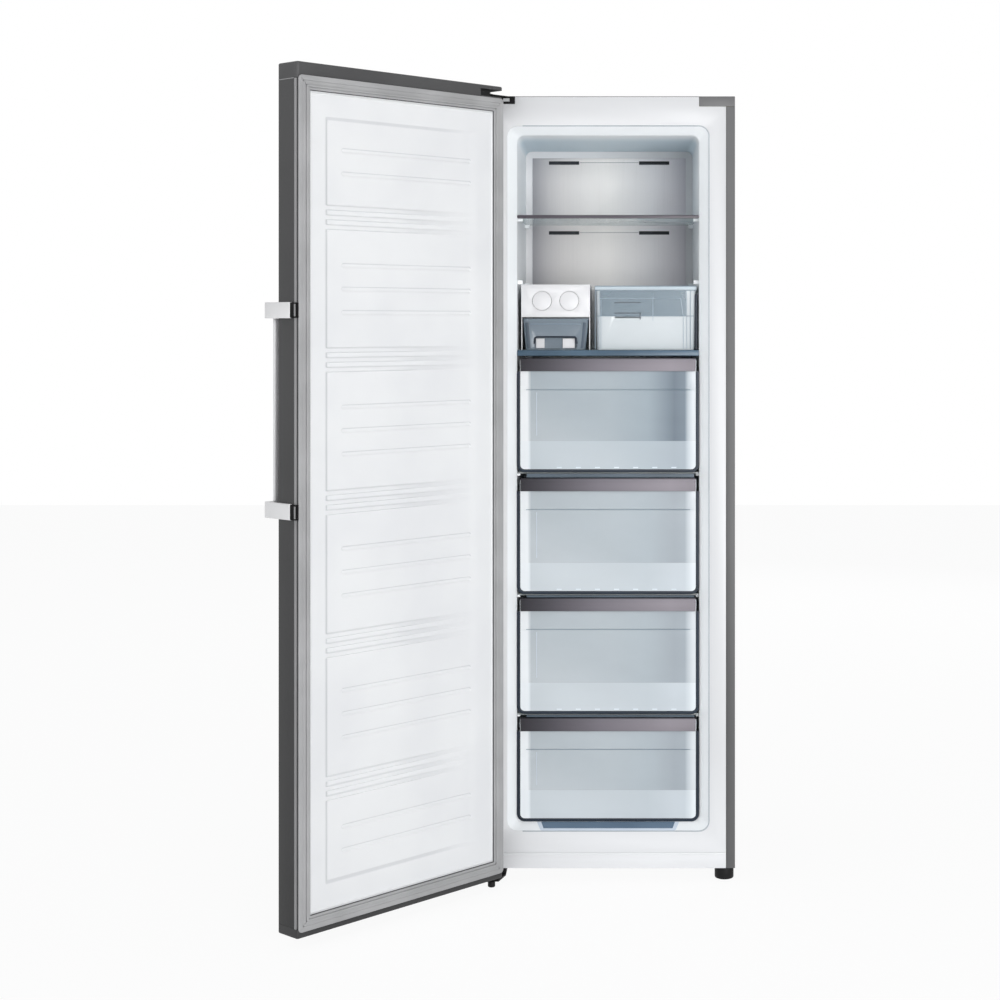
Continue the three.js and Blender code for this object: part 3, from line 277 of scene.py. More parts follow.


# Brushed steel sheet. The grain runs along one axis, and a painted reflection swings the tone from side to side,
# with painted shade at the sides.
brushed = {"level": 0.86, "grainTone": 0.2, "bandTone": 0.08, "bandWidth": 9, "grainRough": 0.16,
           "bump": 0.1, "bumpDepth": 0.0002}


def brushedLook(stops, span, stretch, metallic, rough):
    def look(board, point):
        own = brushed
        x, y, z = board.split(point)
        across = (x - (home.x - span / 2 * mm)) / (span * mm)
        # painted reflection and shade across the sheet
        sweep = board.ramp(across, [(at, srgb(*tone)) for at, tone in stops])
        grain = board.noise(point, 1.0, stretch, 3.0)
        bands = board.noise(point, 1.0, tuple(v / own["bandWidth"] for v in stretch), 1.0)
        light = own["level"] + own["grainTone"] * grain + own["bandTone"] * bands
        tone = board.mix(light, (0, 0, 0, 1), sweep)
        return coated(board, tone, Metallic=metallic, Roughness=rough + own["grainRough"] * grain,
                      Normal=bumpFrom(board, grain, own["bump"], own["bumpDepth"]))
    return look


# Clear tinted moulding: seen face on it is light, edge on it closes up and darkens.
def clearLook(face, edge, thin, thick):
    def look(board, point):
        rim = board.facing()
        slow = board.noise(point, 7.0, detail=2.0)
        fine = board.noise(point, 500, detail=1.0)
        tone = board.mix(rim, srgb(*face), srgb(*edge))
        cover = thin + (thick - thin) * rim + 0.06 * (slow - 0.5)
        return coated(board, tone, Alpha=cover, Roughness=0.08 + 0.1 * slow,
                      Normal=bumpFrom(board, slow + 0.2 * fine, 0.05, 0.0006))
    return look


# Front of a drawer: clear in its upper part, frosted below, with a painted highlight at one side and painted shade
# towards the other, a painted sheen from the lower left and painted light on the lower drawers.
drawerTone = {
    "left": -210.5, "span": 421.0,
    # (share of the width, tone, cover): painted highlights at the left edge and near the right edge, painted shade
    # over the right quarter
    "stops": [
        (0.0, (250, 252, 253), 0.92), (0.05, (252, 253, 254), 0.92), (0.07, (204, 215, 222), 0.5),
        (0.5, (206, 217, 224), 0.5), (0.72, (178, 193, 203), 0.58), (0.87, (78, 98, 116), 0.84),
        (0.93, (92, 112, 129), 0.82), (0.95, (206, 217, 225), 0.7), (0.975, (236, 241, 245), 0.8),
        (1.0, (222, 230, 236), 0.8)],
    # a painted sheen from the lower left corner, weaker over the frosted band
    "sheen": (240, 244, 247), "sheenRise": 0.9, "sheenStart": 0.25, "sheenEnd": 0.95,
    "sheenShare": 0.45, "sheenLoss": 0.3, "frost": (216, 225, 231), "frostShare": 0.4,
    "shade": (120, 140, 156), "shadeShare": 0.12,
    # painted light: the lower drawers are paler; heights in metres
    "pale": (242, 248, 252), "paleLow": 0.93, "paleHigh": 0.97, "paleBelow": 0.42, "paleAbove": 0.08,
    "rimCover": 0.3, "frostCover": 0.14, "sheenCover": 0.12, "slowCover": 0.1,
}


def drawerFrontLook(board, point):
    x, y, z = board.split(point)
    own = drawerTone
    across = (x - (home.x + own["left"] * mm)) / (own["span"] * mm)
    # painted highlights at the edges and painted shade over the right quarter
    sweep = board.ramp(across, [(at, (*srgb(*tone)[:3], cover)) for at, tone, cover in own["stops"]])
    rim, frost, rise = board.facing(), board.stored("frost"), board.stored("rise")
    slow = board.noise(point, 6.0, (1, 1, 2.5), 2.0)
    fine = board.noise(point, 700, detail=1.0)
    # painted sheen from the lower left, and painted light on the lower drawers
    glow = board.ease(across + own["sheenRise"] * rise, own["sheenStart"], own["sheenEnd"], 1, 0)
    pale = board.ease(z, own["paleLow"], own["paleHigh"], own["paleBelow"], own["paleAbove"])
    tone = board.mix(frost * own["frostShare"], sweep, srgb(*own["frost"]))
    tone = board.mix(glow * (own["sheenShare"] - own["sheenLoss"] * frost), tone, srgb(*own["sheen"]))
    tone = board.mix(own["shadeShare"] * slow, tone, srgb(*own["shade"]))
    tone = board.mix(pale, tone, srgb(*own["pale"]))
    cover = sweep.out("Alpha") + own["rimCover"] * rim + own["frostCover"] * frost
    cover = cover + own["sheenCover"] * glow + own["slowCover"] * (slow - 0.5)
    return coated(board, tone, Alpha=cover, Roughness=0.1 + 0.22 * frost + 0.08 * slow,
                  Normal=bumpFrom(board, slow + 0.25 * fine * frost, 0.05, 0.0006))


def foamLook(board, point):
    cells = board.add("ShaderNodeTexVoronoi", {}, {"Vector": point, "Scale": 420})
    tone = board.mix(board.ease(cells, 0.0, 0.6), srgb(214, 196, 142), srgb(238, 226, 182))
    return coated(board, tone, Roughness=0.9, Normal=bumpFrom(board, cells, 0.6, 0.0008))


# painted reflections: on the cover light in the middle and darker at the sides, on the drawer trims dark at the
# left and lighter to the right
steelReflectionStops = [(0.0, (166, 165, 170)), (0.2, (222, 219, 218)), (0.5, (255, 252, 249)),
              (0.78, (246, 244, 246)), (1.0, (222, 217, 223))]
trimReflectionStops = [(0.0, (44, 42, 48)), (0.12, (62, 60, 67)), (0.45, (108, 104, 112)),
             (0.85, (126, 121, 128)), (1.0, (116, 111, 118))]
looks = {
    # a paint's last number is its painted shade towards the floor
    "cabinetPaint": paintLook((97, 97, 98), (105, 105, 106), 0.42, 0.1, 0.3),
    "doorPaint": paintLook((56, 56, 57), (64, 64, 65), 0.48, 0.1, 0.4),
    "liner": linerLook,
    # the door's white takes painted shade on its slopes
    "doorWhite": surfaceLook("moulded", (229, 230, 232), (235, 236, 237), 0.36, slowBump=1.2, bump=0.06,
                             slopeShade=0.42),
    "whitePlastic": mouldedLook((228, 228, 230), (234, 234, 236), 0.34),
    "railWhite": mouldedLook((226, 227, 229), (231, 232, 234), 0.34),
    "capPlastic": mouldedLook((60, 60, 61), (70, 70, 71), 0.48, 0.3, 1400),
    # the bottom cap: the same plastic darker, as painted shade on the underside
    "capDark": mouldedLook((40, 40, 41), (48, 48, 49), 0.5, 0.3, 1400),
    "blackPlastic": mouldedLook((10, 10, 11), (17, 17, 18), 0.5, 0.3, 1200, 0.25),
    "blackSteel": paintLook((6, 6, 7), (12, 12, 13), 0.5, 0.0, 0.0, 0.15),
    "coverSteel": brushedLook(steelReflectionStops, 394, (1500, 1500, 9), 0.1, 0.5),
    "trimSteel": brushedLook(trimReflectionStops, 421, (9, 1500, 1500), 0.3, 0.42),
    "drawerFront": drawerFrontLook,
    "clearDrawer": clearLook((220, 230, 236), (120, 140, 156), 0.3, 0.9),
    "clearBin": clearLook((146, 160, 172), (72, 90, 106), 0.6, 0.95),
    "whiteRim": mouldedLook((214, 224, 231), (228, 235, 240), 0.2, 0.05),
    "rimBlue": mouldedLook((180, 194, 204), (192, 205, 213), 0.25, 0.05),
    "lipGrey": mouldedLook((136, 136, 137), (148, 148, 149), 0.4, 0.15, 1200),
    "creaseBlue": mouldedLook((118, 134, 148), (134, 150, 162), 0.3, 0.05),
    "steelLine": metalLook((150, 150, 154), (168, 168, 172), 0.45, 600),
    # a dark screen behind the cover's slots, painted shade
    "slotBlack": mouldedLook((14, 18, 26), (22, 27, 36), 0.6, 0.05),
    "gripGrey": mouldedLook((84, 92, 100), (98, 106, 114), 0.4, 0.05),
    "slopeLine": mouldedLook((160, 174, 186), (174, 187, 198), 0.3, 0.05),
    # painted shade on the ice bin's sides
    "recessDark": mouldedLook((52, 66, 80), (68, 84, 100), 0.4, 0.05),
    "clearSmall": clearLook((240, 246, 249), (150, 168, 182), 0.66, 0.95),
    # painted shadow in the recess under the lowest drawer
    "recessBlue": mouldedLook((84, 106, 128), (100, 122, 144), 0.3, 0.08),
    "noseGrey": mouldedLook((66, 82, 96), (82, 98, 112), 0.3, 0.08),
    "slopeBlue": mouldedLook((204, 215, 230), (216, 226, 238), 0.3, 0.05),
    # painted shade along the edge of the mouth's flare
    "mouthGrey": mouldedLook((168, 174, 180), (180, 186, 192), 0.4, 0.05),
    # painted shadow: dark strips in gaps and along edges
    "drawerEdge": mouldedLook((18, 29, 42), (28, 41, 56), 0.3, 0.05, 900, 0.3),
    "shelfGlass": clearLook((246, 252, 252), (226, 246, 249), 0.32, 0.58),
    "shelfRail": mouldedLook((72, 66, 74), (88, 82, 90), 0.3, 0.1),
    "navyStrip": mouldedLook((58, 82, 102), (78, 104, 124), 0.25, 0.1),
    "gasketGrey": surfaceLook("rubber", (160, 160, 161), (172, 172, 173), 0.5),
    # painted shade in the gaps beside the gasket
    "gasketDark": surfaceLook("rubber", (68, 68, 69), (82, 82, 83), 0.5),
    "satinSilver": metalLook((213, 213, 214), (225, 225, 226), 0.38, 900, 0.3),
    "barSilver": metalLook((227, 227, 228), (236, 236, 237), 0.42, 900, 0.1),
    "padBlack": mouldedLook((5, 5, 6), (9, 9, 10), 0.6, 0.2, 1200, 0.15),
    "clearBand": clearLook((146, 164, 176), (106, 126, 142), 0.5, 0.85),
    "zincSheet": metalLook((160, 163, 165), (178, 181, 183), 0.46, 160, 0.7),
    "finAluminium": metalLook((178, 181, 184), (205, 207, 209), 0.35, 500),
    "copperTube": metalLook((166, 98, 58), (196, 124, 78), 0.3, 300),
    "foamBody": foamLook,
}
finishes = {name: makeFinish(name, look) for name, look in looks.items()}
print("finishes made")


# Making pieces

making = {"weldGap": 0.00002, "flatAngle": 0.5, "easeAngle": 32}
smoothUpTo = {"panel": 50, "sweep": 40, "tub": 38, "plate": 25, "dome": 60, "screw": 35}  # degrees


def addObject(name, mesh):
    piece = bpy.data.objects.new(name, mesh)
    bpy.context.scene.collection.objects.link(piece)
    return piece


def addMesh(name, points, faces):
    mesh = bpy.data.meshes.new(name)
    mesh.from_pydata([tuple(map(float, point)) for point in points], [], faces)
    mesh.validate()
    return addObject(name, mesh)


def settle(piece):
    # the evaluated mesh becomes the piece's own, and its modifiers go
    graph = bpy.context.evaluated_depsgraph_get()
    mesh = bpy.data.meshes.new_from_object(piece.evaluated_get(graph), depsgraph=graph)
    piece.modifiers.clear()
    piece.data = mesh


def thicken(piece, thickness):
    wall = piece.modifiers.new("wall", "SOLIDIFY")
    wall.thickness = thickness
    wall.offset = -1
    wall.use_even_offset = True
    settle(piece)


def easeEdges(piece, width, segments=2):
    for face in piece.data.polygons:
        face.use_smooth = True
    bevel = piece.modifiers.new("ease", "BEVEL")
    bevel.width = width
    bevel.segments = segments
    bevel.limit_method = "ANGLE"
    bevel.angle_limit = math.radians(making["easeAngle"])
    bevel.harden_normals = True
    settle(piece)


def finishPiece(piece, body, finish, slot, replaces=()):
    piece.data.materials.clear()
    piece.data.materials.append(finishes[finish])
    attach(piece, body)
    if replaces:
        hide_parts(*replaces)


def placePiece(piece, place=cabinetPlace):
    piece.data.transform(place)
    piece.data.update()


def closePiece(piece, shape, body, finish, slot, replaces=(), place=cabinetPlace):
    # smooth shading for its kind of shape, then its place and what it is
    for face in piece.data.polygons:
        face.use_smooth = True
    piece.data.set_sharp_from_angle(angle=math.radians(smoothUpTo[shape]))
    placePiece(piece, place)
    finishPiece(piece, body, finish, slot, replaces)


def mergedCopy(node, name):
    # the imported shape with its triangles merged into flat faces
    mesh = frame["nodes"][node].data.copy()
    form = bmesh.new()
    form.from_mesh(mesh)
    bmesh.ops.remove_doubles(form, verts=form.verts, dist=making["weldGap"])
    flat = math.radians(making["flatAngle"])
    bmesh.ops.dissolve_limit(form, angle_limit=flat, verts=form.verts, edges=form.edges)
    form.to_mesh(mesh)
    form.free()
    return addObject(name, mesh)


boxFaces = [(0, 1, 3, 2), (4, 6, 7, 5), (0, 4, 5, 1), (2, 3, 7, 6), (0, 2, 6, 4), (1, 5, 7, 3)]


def boxMesh(name, boxes):
    # boxes are (x0, x1, y0, y1, z0, z1)
    corners, faces = [], []
    for x0, x1, y0, y1, z0, z1 in boxes:
        faces += [tuple(len(corners) + i for i in face) for face in boxFaces]
        corners += [(x, y, z) for x in (x0, x1) for y in (y0, y1) for z in (z0, z1)]
    return addMesh(name, corners, faces)


def boxPiece(name, boxes, radius, body, finish, slot, place=cabinetPlace):
    piece = boxMesh(name, boxes)
    placePiece(piece, place)
    easeEdges(piece, radius * mm, 3)
    finishPiece(piece, body, finish, slot)


def bothSides(near, far, *rest):
    # the same box on the left and on the right
    return [(-far, -near, *rest), (near, far, *rest)]


def cutAway(piece, boxes, place):
    cutter = boxMesh("cutter", boxes)
    cutter.data.transform(place)
    cut = piece.modifiers.new("cut", "BOOLEAN")
    cut.operation = "DIFFERENCE"
    cut.solver = "EXACT"
    cut.object = cutter
    settle(piece)
    bpy.data.objects.remove(cutter)


# Geometry trees

socketKinds = {float: "NodeSocketFloat", int: "NodeSocketInt"}


def growTree(name, sizes, build):
    # a geometry tree with one named input for each size
    tree = bpy.data.node_groups.new(name, "GeometryNodeTree")
    tree.interface.new_socket(name="Geometry", in_out="INPUT", socket_type="NodeSocketGeometry")
    for key, value in sizes.items():
        socket = tree.interface.new_socket(name=key, in_out="INPUT", socket_type=socketKinds[type(value)])
        socket.default_value = value
    tree.interface.new_socket(name="Geometry", in_out="OUTPUT", socket_type="NodeSocketGeometry")
    board = Board(tree)
    start = board.add("NodeGroupInput")
    given = {key: start.out(key) for key in sizes}
    shape = build(board, start.out("Geometry"), given)
    board.add("NodeGroupOutput", inputs={"Geometry": shape})
    return tree


def runTree(piece, tree, sizes):
    grown = piece.modifiers.new(tree.name, "NODES")
    grown.node_group = tree
    for item in tree.interface.items_tree:
        if item.in_out == "INPUT" and item.name in sizes:
            grown[item.identifier] = sizes[item.name]
    settle(piece)


def closeTree(board, shape, finish):
    real = board.add("GeometryNodeRealizeInstances", inputs={"Geometry": shape})
    return board.add("GeometryNodeSetMaterial", inputs={"Geometry": real, "Material": finishes[finish]})


# Door panel: a white moulded sheet whose ribs and long grooves follow one rule

doorPanel = {
    "side": 290.7, "low": 42.3, "high": 1818.7, "plane": -7.4, "skin": 2.0,
    "fieldLeft": -221.0, "fieldRight": 224.0, "fieldLow": 119.0, "fieldHigh": 1745.5,
    "fieldDrop": 4.0, "slope": 11.0, "softSide": 0.8,
    "firstGroup": 321.8, "groupPitch": 302.3, "lastGroup": 4.0,
    "ribPitch": 20.5, "ribHalf": 6.2, "ribFlat": 3.6, "ribFadeStart": -205.0, "ribFadeEnd": 60.0,
    "grooveNear": 101.0, "grooveFar": 151.0, "grooveMiddle": -11.0, "grooveLength": 364.0,
    "grooveHalf": 5.4, "grooveFlat": 2.4, "grooveDepth": 2.2, "lowestShift": 11.7, "highestShift": 6.5,
    "beadIn": 29.0, "beadHalf": 3.6, "beadRise": 1.8, "groupReach": 60.0, "fieldBlend": 6.0, "ribFaint": 0.12,
    # where and how much painted shade darkens the slopes
    "edgeShade": 0.62, "edgeStart": 0.2, "edgeEnd": 0.75, "ribShade": 2.2, "ribShadeFaint": 0.1,
    "grooveShade": 3.8, "grooveStart": -0.5, "grooveEnd": 1.0, "shadeStart": -215.0, "shadeEnd": -60.0,
}
panelMesh = {"step": 24, "fine": 1.3, "reachX": 8, "reachZ": 7.5, "intoField": 5, "pastGroove": 2}


def panelRelief(board, sheet, size):
    x, y, z = board.split(board.add("GeometryNodeInputPosition"))
    first, pitch, reach = size["firstGroup"], size["groupPitch"], size["groupReach"]
    top = first + pitch * size["lastGroup"] + reach
    level = z - size["lowestShift"] * board.sum("LESS_THAN", z, first - reach)
    level = level + size["highestShift"] * board.sum("GREATER_THAN", z, top)
    place = board.sum("ROUND", (level - first) / pitch)
    place = board.most(board.least(place, size["lastGroup"]), 0)
    signed = level - first - place * pitch
    away = abs(signed)

    midX = (size["fieldLeft"] + size["fieldRight"]) / 2
    midZ = (size["fieldLow"] + size["fieldHigh"]) / 2
    soft = board.sum("LESS_THAN", x, midX)
    inX = (size["fieldRight"] - size["fieldLeft"]) / 2 - abs(x - midX)
    inX = inX * (1 - soft * size["softSide"])
    inZ = (size["fieldHigh"] - size["fieldLow"]) / 2 - abs(z - midZ)
    inside = board.sum("SMOOTH_MIN", inX, inZ, size["fieldBlend"])
    field = board.ease(inside, 0, size["slope"])

    ribGap = board.least(away, abs(away - size["ribPitch"]))
    ribs = board.ease(ribGap, size["ribFlat"], size["ribHalf"], 1, 0)
    ribs = ribs * board.ease(x, size["ribFadeStart"], size["ribFadeEnd"], size["ribFaint"], 1)
    toNear, toFar = (abs(away - size[name]) for name in ("grooveNear", "grooveFar"))
    lineGap = board.least(toNear, toFar)
    beyond = board.most(abs(x - size["grooveMiddle"]) - size["grooveLength"] / 2, 0)
    reach = board.sum("SQRT", lineGap * lineGap + beyond * beyond)
    grooves = board.ease(reach, size["grooveFlat"], size["grooveHalf"], 1, 0)
    fromSide = size["side"] - abs(x)
    fromEnd = (size["high"] - size["low"]) / 2 - abs(z - (size["high"] + size["low"]) / 2)
    bead = abs(board.least(fromSide, fromEnd) - size["beadIn"])
    bead = board.ease(bead, 0, size["beadHalf"], 1, 0)

    # slopes that face down or away are stored as painted shade, for the finish to darken
    edge = board.ease(field, 0, size["edgeStart"]) * board.ease(field, 1, size["edgeEnd"]) * (1 - ribs)
    edge = size["edgeShade"] * edge * board.ease(x, size["shadeStart"], size["shadeEnd"])
    fade = board.ease(x, size["ribFadeStart"], size["ribFadeEnd"], size["ribShadeFaint"], 1)
    ribEdge = size["ribShade"] * ribs * (1 - ribs) * field * fade
    nearer = board.sum("LESS_THAN", toNear, toFar)
    across = away - size["grooveFar"] + nearer * (size["grooveFar"] - size["grooveNear"])
    facing = board.ease(across * board.sum("SIGN", signed), size["grooveStart"], size["grooveEnd"])
    groove = size["grooveShade"] * grooves * (1 - grooves) * facing
    slope = board.least(edge + ribEdge + groove, 1.0)
    sheet = board.add("GeometryNodeStoreNamedAttribute", {"data_type": "FLOAT", "domain": "POINT"},
                      {"Geometry": sheet, "Name": "slope", "Value": slope})

    relief = size["beadRise"] * bead - size["fieldDrop"] * field * (1 - ribs) - size["grooveDepth"] * grooves
    moved = board.add("GeometryNodeSetPosition", inputs={"Geometry": sheet, "Offset": board.join(y=relief)})
    return closeTree(board, moved, "doorWhite")


def spread(start, end, step, spots, reach, fine):
    # values from start to end, closer together round each spot and none nearly on another
    values = list(np.linspace(start, end, max(2, int((end - start) / step))))
    for spot in spots:
        values += list(np.arange(spot - reach, spot + reach + fine / 2, fine))
    kept = sorted({round(float(v), 2) for v in values if start <= v <= end})
    return [v for i, v in enumerate(kept) if i == 0 or i == len(kept) - 1 or v - kept[i - 1] > fine * 0.45]


def flatSheet(name, columns, rows, y):
    wide = len(columns)
    corners = [r * wide + c for r in range(len(rows) - 1) for c in range(wide - 1)]
    return addMesh(name, [(x, y, z) for z in rows for x in columns],
                   [(a, a + wide, a + wide + 1, a + 1) for a in corners])


def makeDoorPanel():
    size, mesh = doorPanel, panelMesh
    last = int(size["lastGroup"])
    rows = [size["fieldLow"] + mesh["intoField"], size["fieldHigh"] - mesh["intoField"],
            size["low"] + size["beadIn"], size["high"] - size["beadIn"]]
    for i in range(last + 1):
        group = size["firstGroup"] + i * size["groupPitch"]
        up = size["highestShift"] if i == last else 0
        down = size["lowestShift"] if i == 0 else 0
        rows += [group, group - size["ribPitch"], group + size["ribPitch"]]
        for away in (size["grooveNear"], size["grooveFar"]):
            rows += [group + away - up, group - away + down]
    half = size["grooveLength"] / 2 + mesh["pastGroove"]
    inner = size["side"] - size["beadIn"]
    columns = [size["fieldLeft"] + mesh["intoField"], size["fieldRight"] - mesh["intoField"], -inner, inner,
               size["grooveMiddle"] - half, size["grooveMiddle"] + half]
    xs = spread(-size["side"], size["side"], mesh["step"], columns, mesh["reachX"], mesh["fine"])
    zs = spread(size["low"], size["high"], mesh["step"], rows, mesh["reachZ"], mesh["fine"])
    panel = flatSheet("doorPanel", xs, zs, size["plane"])
    numbers = {key: float(value) for key, value in size.items()}
    runTree(panel, growTree("panelRelief", numbers, panelRelief), numbers)
    thicken(panel, size["skin"])
    closePiece(panel, "panel", "door", "doorWhite", "white_plastic", ["door_liner"], doorPlace)


doorBody = {
    "foamDrop": 12.0, "sideEnd": -18.4, "cutHalf": 300, "cutLow": 40, "cutHigh": 1821,
    "sheetEdge": 0.25, "capEdge": 0.9, "half": 296.8, "low": 41.0, "high": 1819.0,
    "lipEnd": -12.1, "lipIn": 3.4, "lipEdge": 0.8, "channelEnd": -7.3, "channelIn": 5.8, "channelEdge": 0.3,
}


def makeDoorBody():
    # the foam stands clear behind the recessed field
    size = doorBody
    foam = mergedCopy("door_foam", "doorFoam")
    foam.data.transform(doorPlace.inverted())
    face = max(point.co.y for point in foam.data.vertices)
    for point in foam.data.vertices:
        point.co.y = min(point.co.y, face - size["foamDrop"])
    placePiece(foam, doorPlace)
    finishPiece(foam, "door", "foamBody", "foam", ["door_foam"])

    # the sheet ends short of the inner face; a grey lip stands there, and a dark channel as painted shade in the
    # gap next to it
    end, half, lipNear = size["sideEnd"], size["half"], size["half"] - size["lipIn"]
    skin = mergedCopy("door_skin", "doorSkin")
    cutAway(skin, [(-size["cutHalf"], size["cutHalf"], end, 0, size["cutLow"], size["cutHigh"])], doorPlace)
    easeEdges(skin, size["sheetEdge"] * mm)
    finishPiece(skin, "door", "doorPaint", "door_paint", ["door_skin"])
    # the bottom cap takes the darker tone, painted shade
    for side, finish in (("top", "capPlastic"), ("bottom", "capDark")):
        cap = mergedCopy("door_cap_" + side, "cap" + side.capitalize())
        easeEdges(cap, size["capEdge"] * mm)
        finishPiece(cap, "door", finish, "dark_plastic", ["door_cap_" + side])
    lip = bothSides(lipNear, half, end, size["lipEnd"], size["low"], size["high"])
    boxPiece("doorLip", lip, size["lipEdge"], "door", "lipGrey", "white_plastic", doorPlace)
    channel = bothSides(half - size["channelIn"], lipNear, end, size["channelEnd"], size["low"], size["high"])
    boxPiece("gasketChannel", channel, size["channelEdge"], "door", "gasketDark", "gasket_rubber", doorPlace)


makeDoorBody()

doorDetails = {
    # name: boxes (x0, x1, y0, y1, z0, z1), edge radius, finish, record slot
    "capSeam": ([(296.4, 297.2, -71, -19, 1818.3, 1820.1)], 0.2, "lipGrey", "dark_plastic"),
    "capSlotFill": ([(-262, -228, -66, -14, 1829.4, 1844.6), (-294, -262, -70, -66, 1829.4, 1844.6)], 0.4,
                    "blackPlastic", "dark_plastic"),
    "clipCores": ([(303.0, 303.9, -9.8, -5.0, z, z + 26) for z in (899, 1321)], 0.4,
                  "lipGrey", "black_plastic"),
}
for name, (boxes, radius, finish, slot) in doorDetails.items():
    boxPiece(name, boxes, radius, "door", finish, slot, doorPlace)
makeDoorPanel()
print("door panel made")


# Door gasket: sections swept round a rounded frame

gasketSize = {"low": 35.0, "high": 1826.0, "half": 295.5, "plane": -7.1, "corner": 9.0, "leastCorner": 1.5}
gasketSections = {
    # name: distance in from the outer edge, width, start and end depth, edge radius
    "base": (1.0, 29.6, 0.0, 1.6, 0.5),
    "bellows": (0.0, 11.2, 1.0, 3.5, 1.2),
    "web": (11.2, 8.2, 1.2, 3.4, 0.8),
    "pocket": (19.6, 5.0, 1.2, 6.6, 1.5),
    "lip": (24.6, 5.4, 1.2, 4.0, 1.2),
}
# painted shade in the crease where the gasket meets the panel
gasketLine = (29.8, 1.8, 0.0, 1.7, 0.3)  # the dark line where the gasket meets the panel


def roundedRect(board, width, height, radius, count):
    rect = board.add("GeometryNodeCurvePrimitiveQuadrilateral", {"mode": "RECTANGLE"},
                     {"Width": width, "Height": height})
    return board.add("GeometryNodeFilletCurve", {"mode": "POLY"},
                     {"Curve": rect, "Count": count, "Radius": radius})


def frameSweep(board, shape, size):
    path = roundedRect(board, size["width"], size["height"], size["corner"], 6)
    section = roundedRect(board, size["across"], size["depth"], size["round"], 4)
    swept = board.add("GeometryNodeCurveToMesh", inputs={"Curve": path, "Profile Curve": section})
    return closeTree(board, swept, "gasketGrey")


frameSizes = ("width", "height", "corner", "across", "depth", "round")
frameTree = growTree("frameSweep", dict.fromkeys(frameSizes, 1.0), frameSweep)


def sweepSection(name, section):
    size = gasketSize
    inset, across, start, end, edge = section
    centre = inset + across / 2
    piece = addMesh(name, [(0, 0, 0)], [])
    runTree(piece, frameTree, {
        "width": 2 * (size["half"] - centre), "height": size["high"] - size["low"] - 2 * centre,
        "corner": max(size["corner"] - centre, size["leastCorner"]), "across": across, "depth": end - start,
        "round": min(edge, across / 2.1, (end - start) / 2.1)})  # an edge radius never takes up a whole side
    middle = Vector((0, size["plane"] + (start + end) / 2, (size["low"] + size["high"]) / 2))
    piece.data.transform(Matrix.Translation(middle) @ Matrix.Rotation(math.radians(90), 4, "X"))
    return piece


def joinPieces(name, pieces):
    form = bmesh.new()
    for piece in pieces:
        form.from_mesh(piece.data)
        bpy.data.objects.remove(piece)
    mesh = bpy.data.meshes.new(name)
    form.to_mesh(mesh)
    form.free()
    return addObject(name, mesh)


def makeGasket():
    gasket = joinPieces("doorGasket", [sweepSection(*item) for item in gasketSections.items()])
    line = sweepSection("gasketLine", gasketLine)
    for piece, finish, replaced in ((gasket, "gasketGrey", ["door_gasket"]), (line, "gasketDark", [])):
        closePiece(piece, "sweep", "door", finish, "gasket_rubber", replaced, doorPlace)


makeGasket()
print("gasket made")


# Drawers

drawerSize = {
    "frontY": 22.0, "panel": 2.5, "corner": 14.0, "topRoom": 3.3, "plateIn": 3.0, "plateRise": 0.4,
    "creaseDrop": 73.8, "creaseHalf": 193.0, "creaseWidth": 3.4, "creaseDepth": 1.0, "edgeBack": 0.5,
    "bandRise": 73.0, "bandStep": 1.2, "rowRoom": 12.0, "rimDrop": 15.0, "wall": 2.5, "tubBack": 1.0,
    "trimShare": 0.978, "trimEdge": 0.6,
    # the dark outline, a painted shadow in the gap round the front, and the lines on the front: (width, depth,
    # edge radius)
    "outline": (7.6, 3.4, 0.8), "outlineIn": 0.2, "outlineRise": 2.8, "outlineBack": 1.2, "outlineDrop": 30.5,
    "creaseLine": (1.2, 0.5, 0.2), "seamLine": (0.9, 0.5, 0.2), "glintLine": (3.0, 0.5, 0.2), "proud": 0.1,
    "seamX": -168.0, "seamTop": 6.0, "seamLow": 12.0, "glintRise": 10.6, "glintHalf": 6.0, "glintDrawers": 3,
    "bumpMiddle": 20.0, "bumpPitch": 45.0, "bumpY": 112.0, "bumpCount": 7, "dome": (8, 22, 3),
}
tubProfile = [
    # up the outside and down the inside:
    # (height above the tub's low or its rim, distance in at the sides, at the ends, corner radius)
    ("low", 0, 22, 4, 10), ("low", 1, 19.2, 1.2, 12), ("low", 4, 18, 0, 14), ("rim", -26, 7.6, 0, 14),
    ("rim", -25, 6.2, 0, 14), ("rim", -3, 6, 0, 14), ("rim", -2.6, 0.8, 0, 14), ("rim", -0.4, 0.6, 0, 14),
    ("rim", 0, 1.2, 0.4, 14), ("rim", 0, 7.9, 1.9, 11.5), ("rim", -1, 8.5, 2.5, 11.5),
    ("rim", -24, 8.9, 2.5, 11.5), ("rim", -26, 10.3, 3.3, 11.5), ("low", 8, 20.5, 3.3, 11.5),
    ("low", 4, 22, 4.5, 10.5), ("low", 2.5, 26.5, 8.5, 6.5),
]


def arc(middleX, middleY, radius, start, steps, turn=90):
    angles = [math.radians(start + turn * i / steps) for i in range(steps + 1)]
    return [(middleX + radius * math.cos(angle), middleY + radius * math.sin(angle)) for angle in angles]


def roundRing(x0, x1, y0, y1, radius, steps):
    left, right, front, back = x0 + radius, x1 - radius, y0 + radius, y1 - radius
    return [*arc(right, front, radius, -90, steps), *arc(right, back, radius, 0, steps),
            *arc(left, back, radius, 90, steps), *arc(left, front, radius, 180, steps)]


def vessel(name, stations, steps=6):
    # closed skin through rounded rings (z, x0, x1, y0, y1, radius)
    points, faces = [], []
    for z, *ring in stations:
        points += [(x, y, z) for x, y in roundRing(*ring, steps)]
    count = 4 * (steps + 1)
    for level in range(len(stations) - 1):
        for i in range(count):
            a, b = level * count + i, level * count + (i + 1) % count
            faces.append((a, b, b + count, a + count))
    last = (len(stations) - 1) * count
    faces += [tuple(reversed(range(count))), tuple(range(last, last + count))]
    return addMesh(name, points, faces)


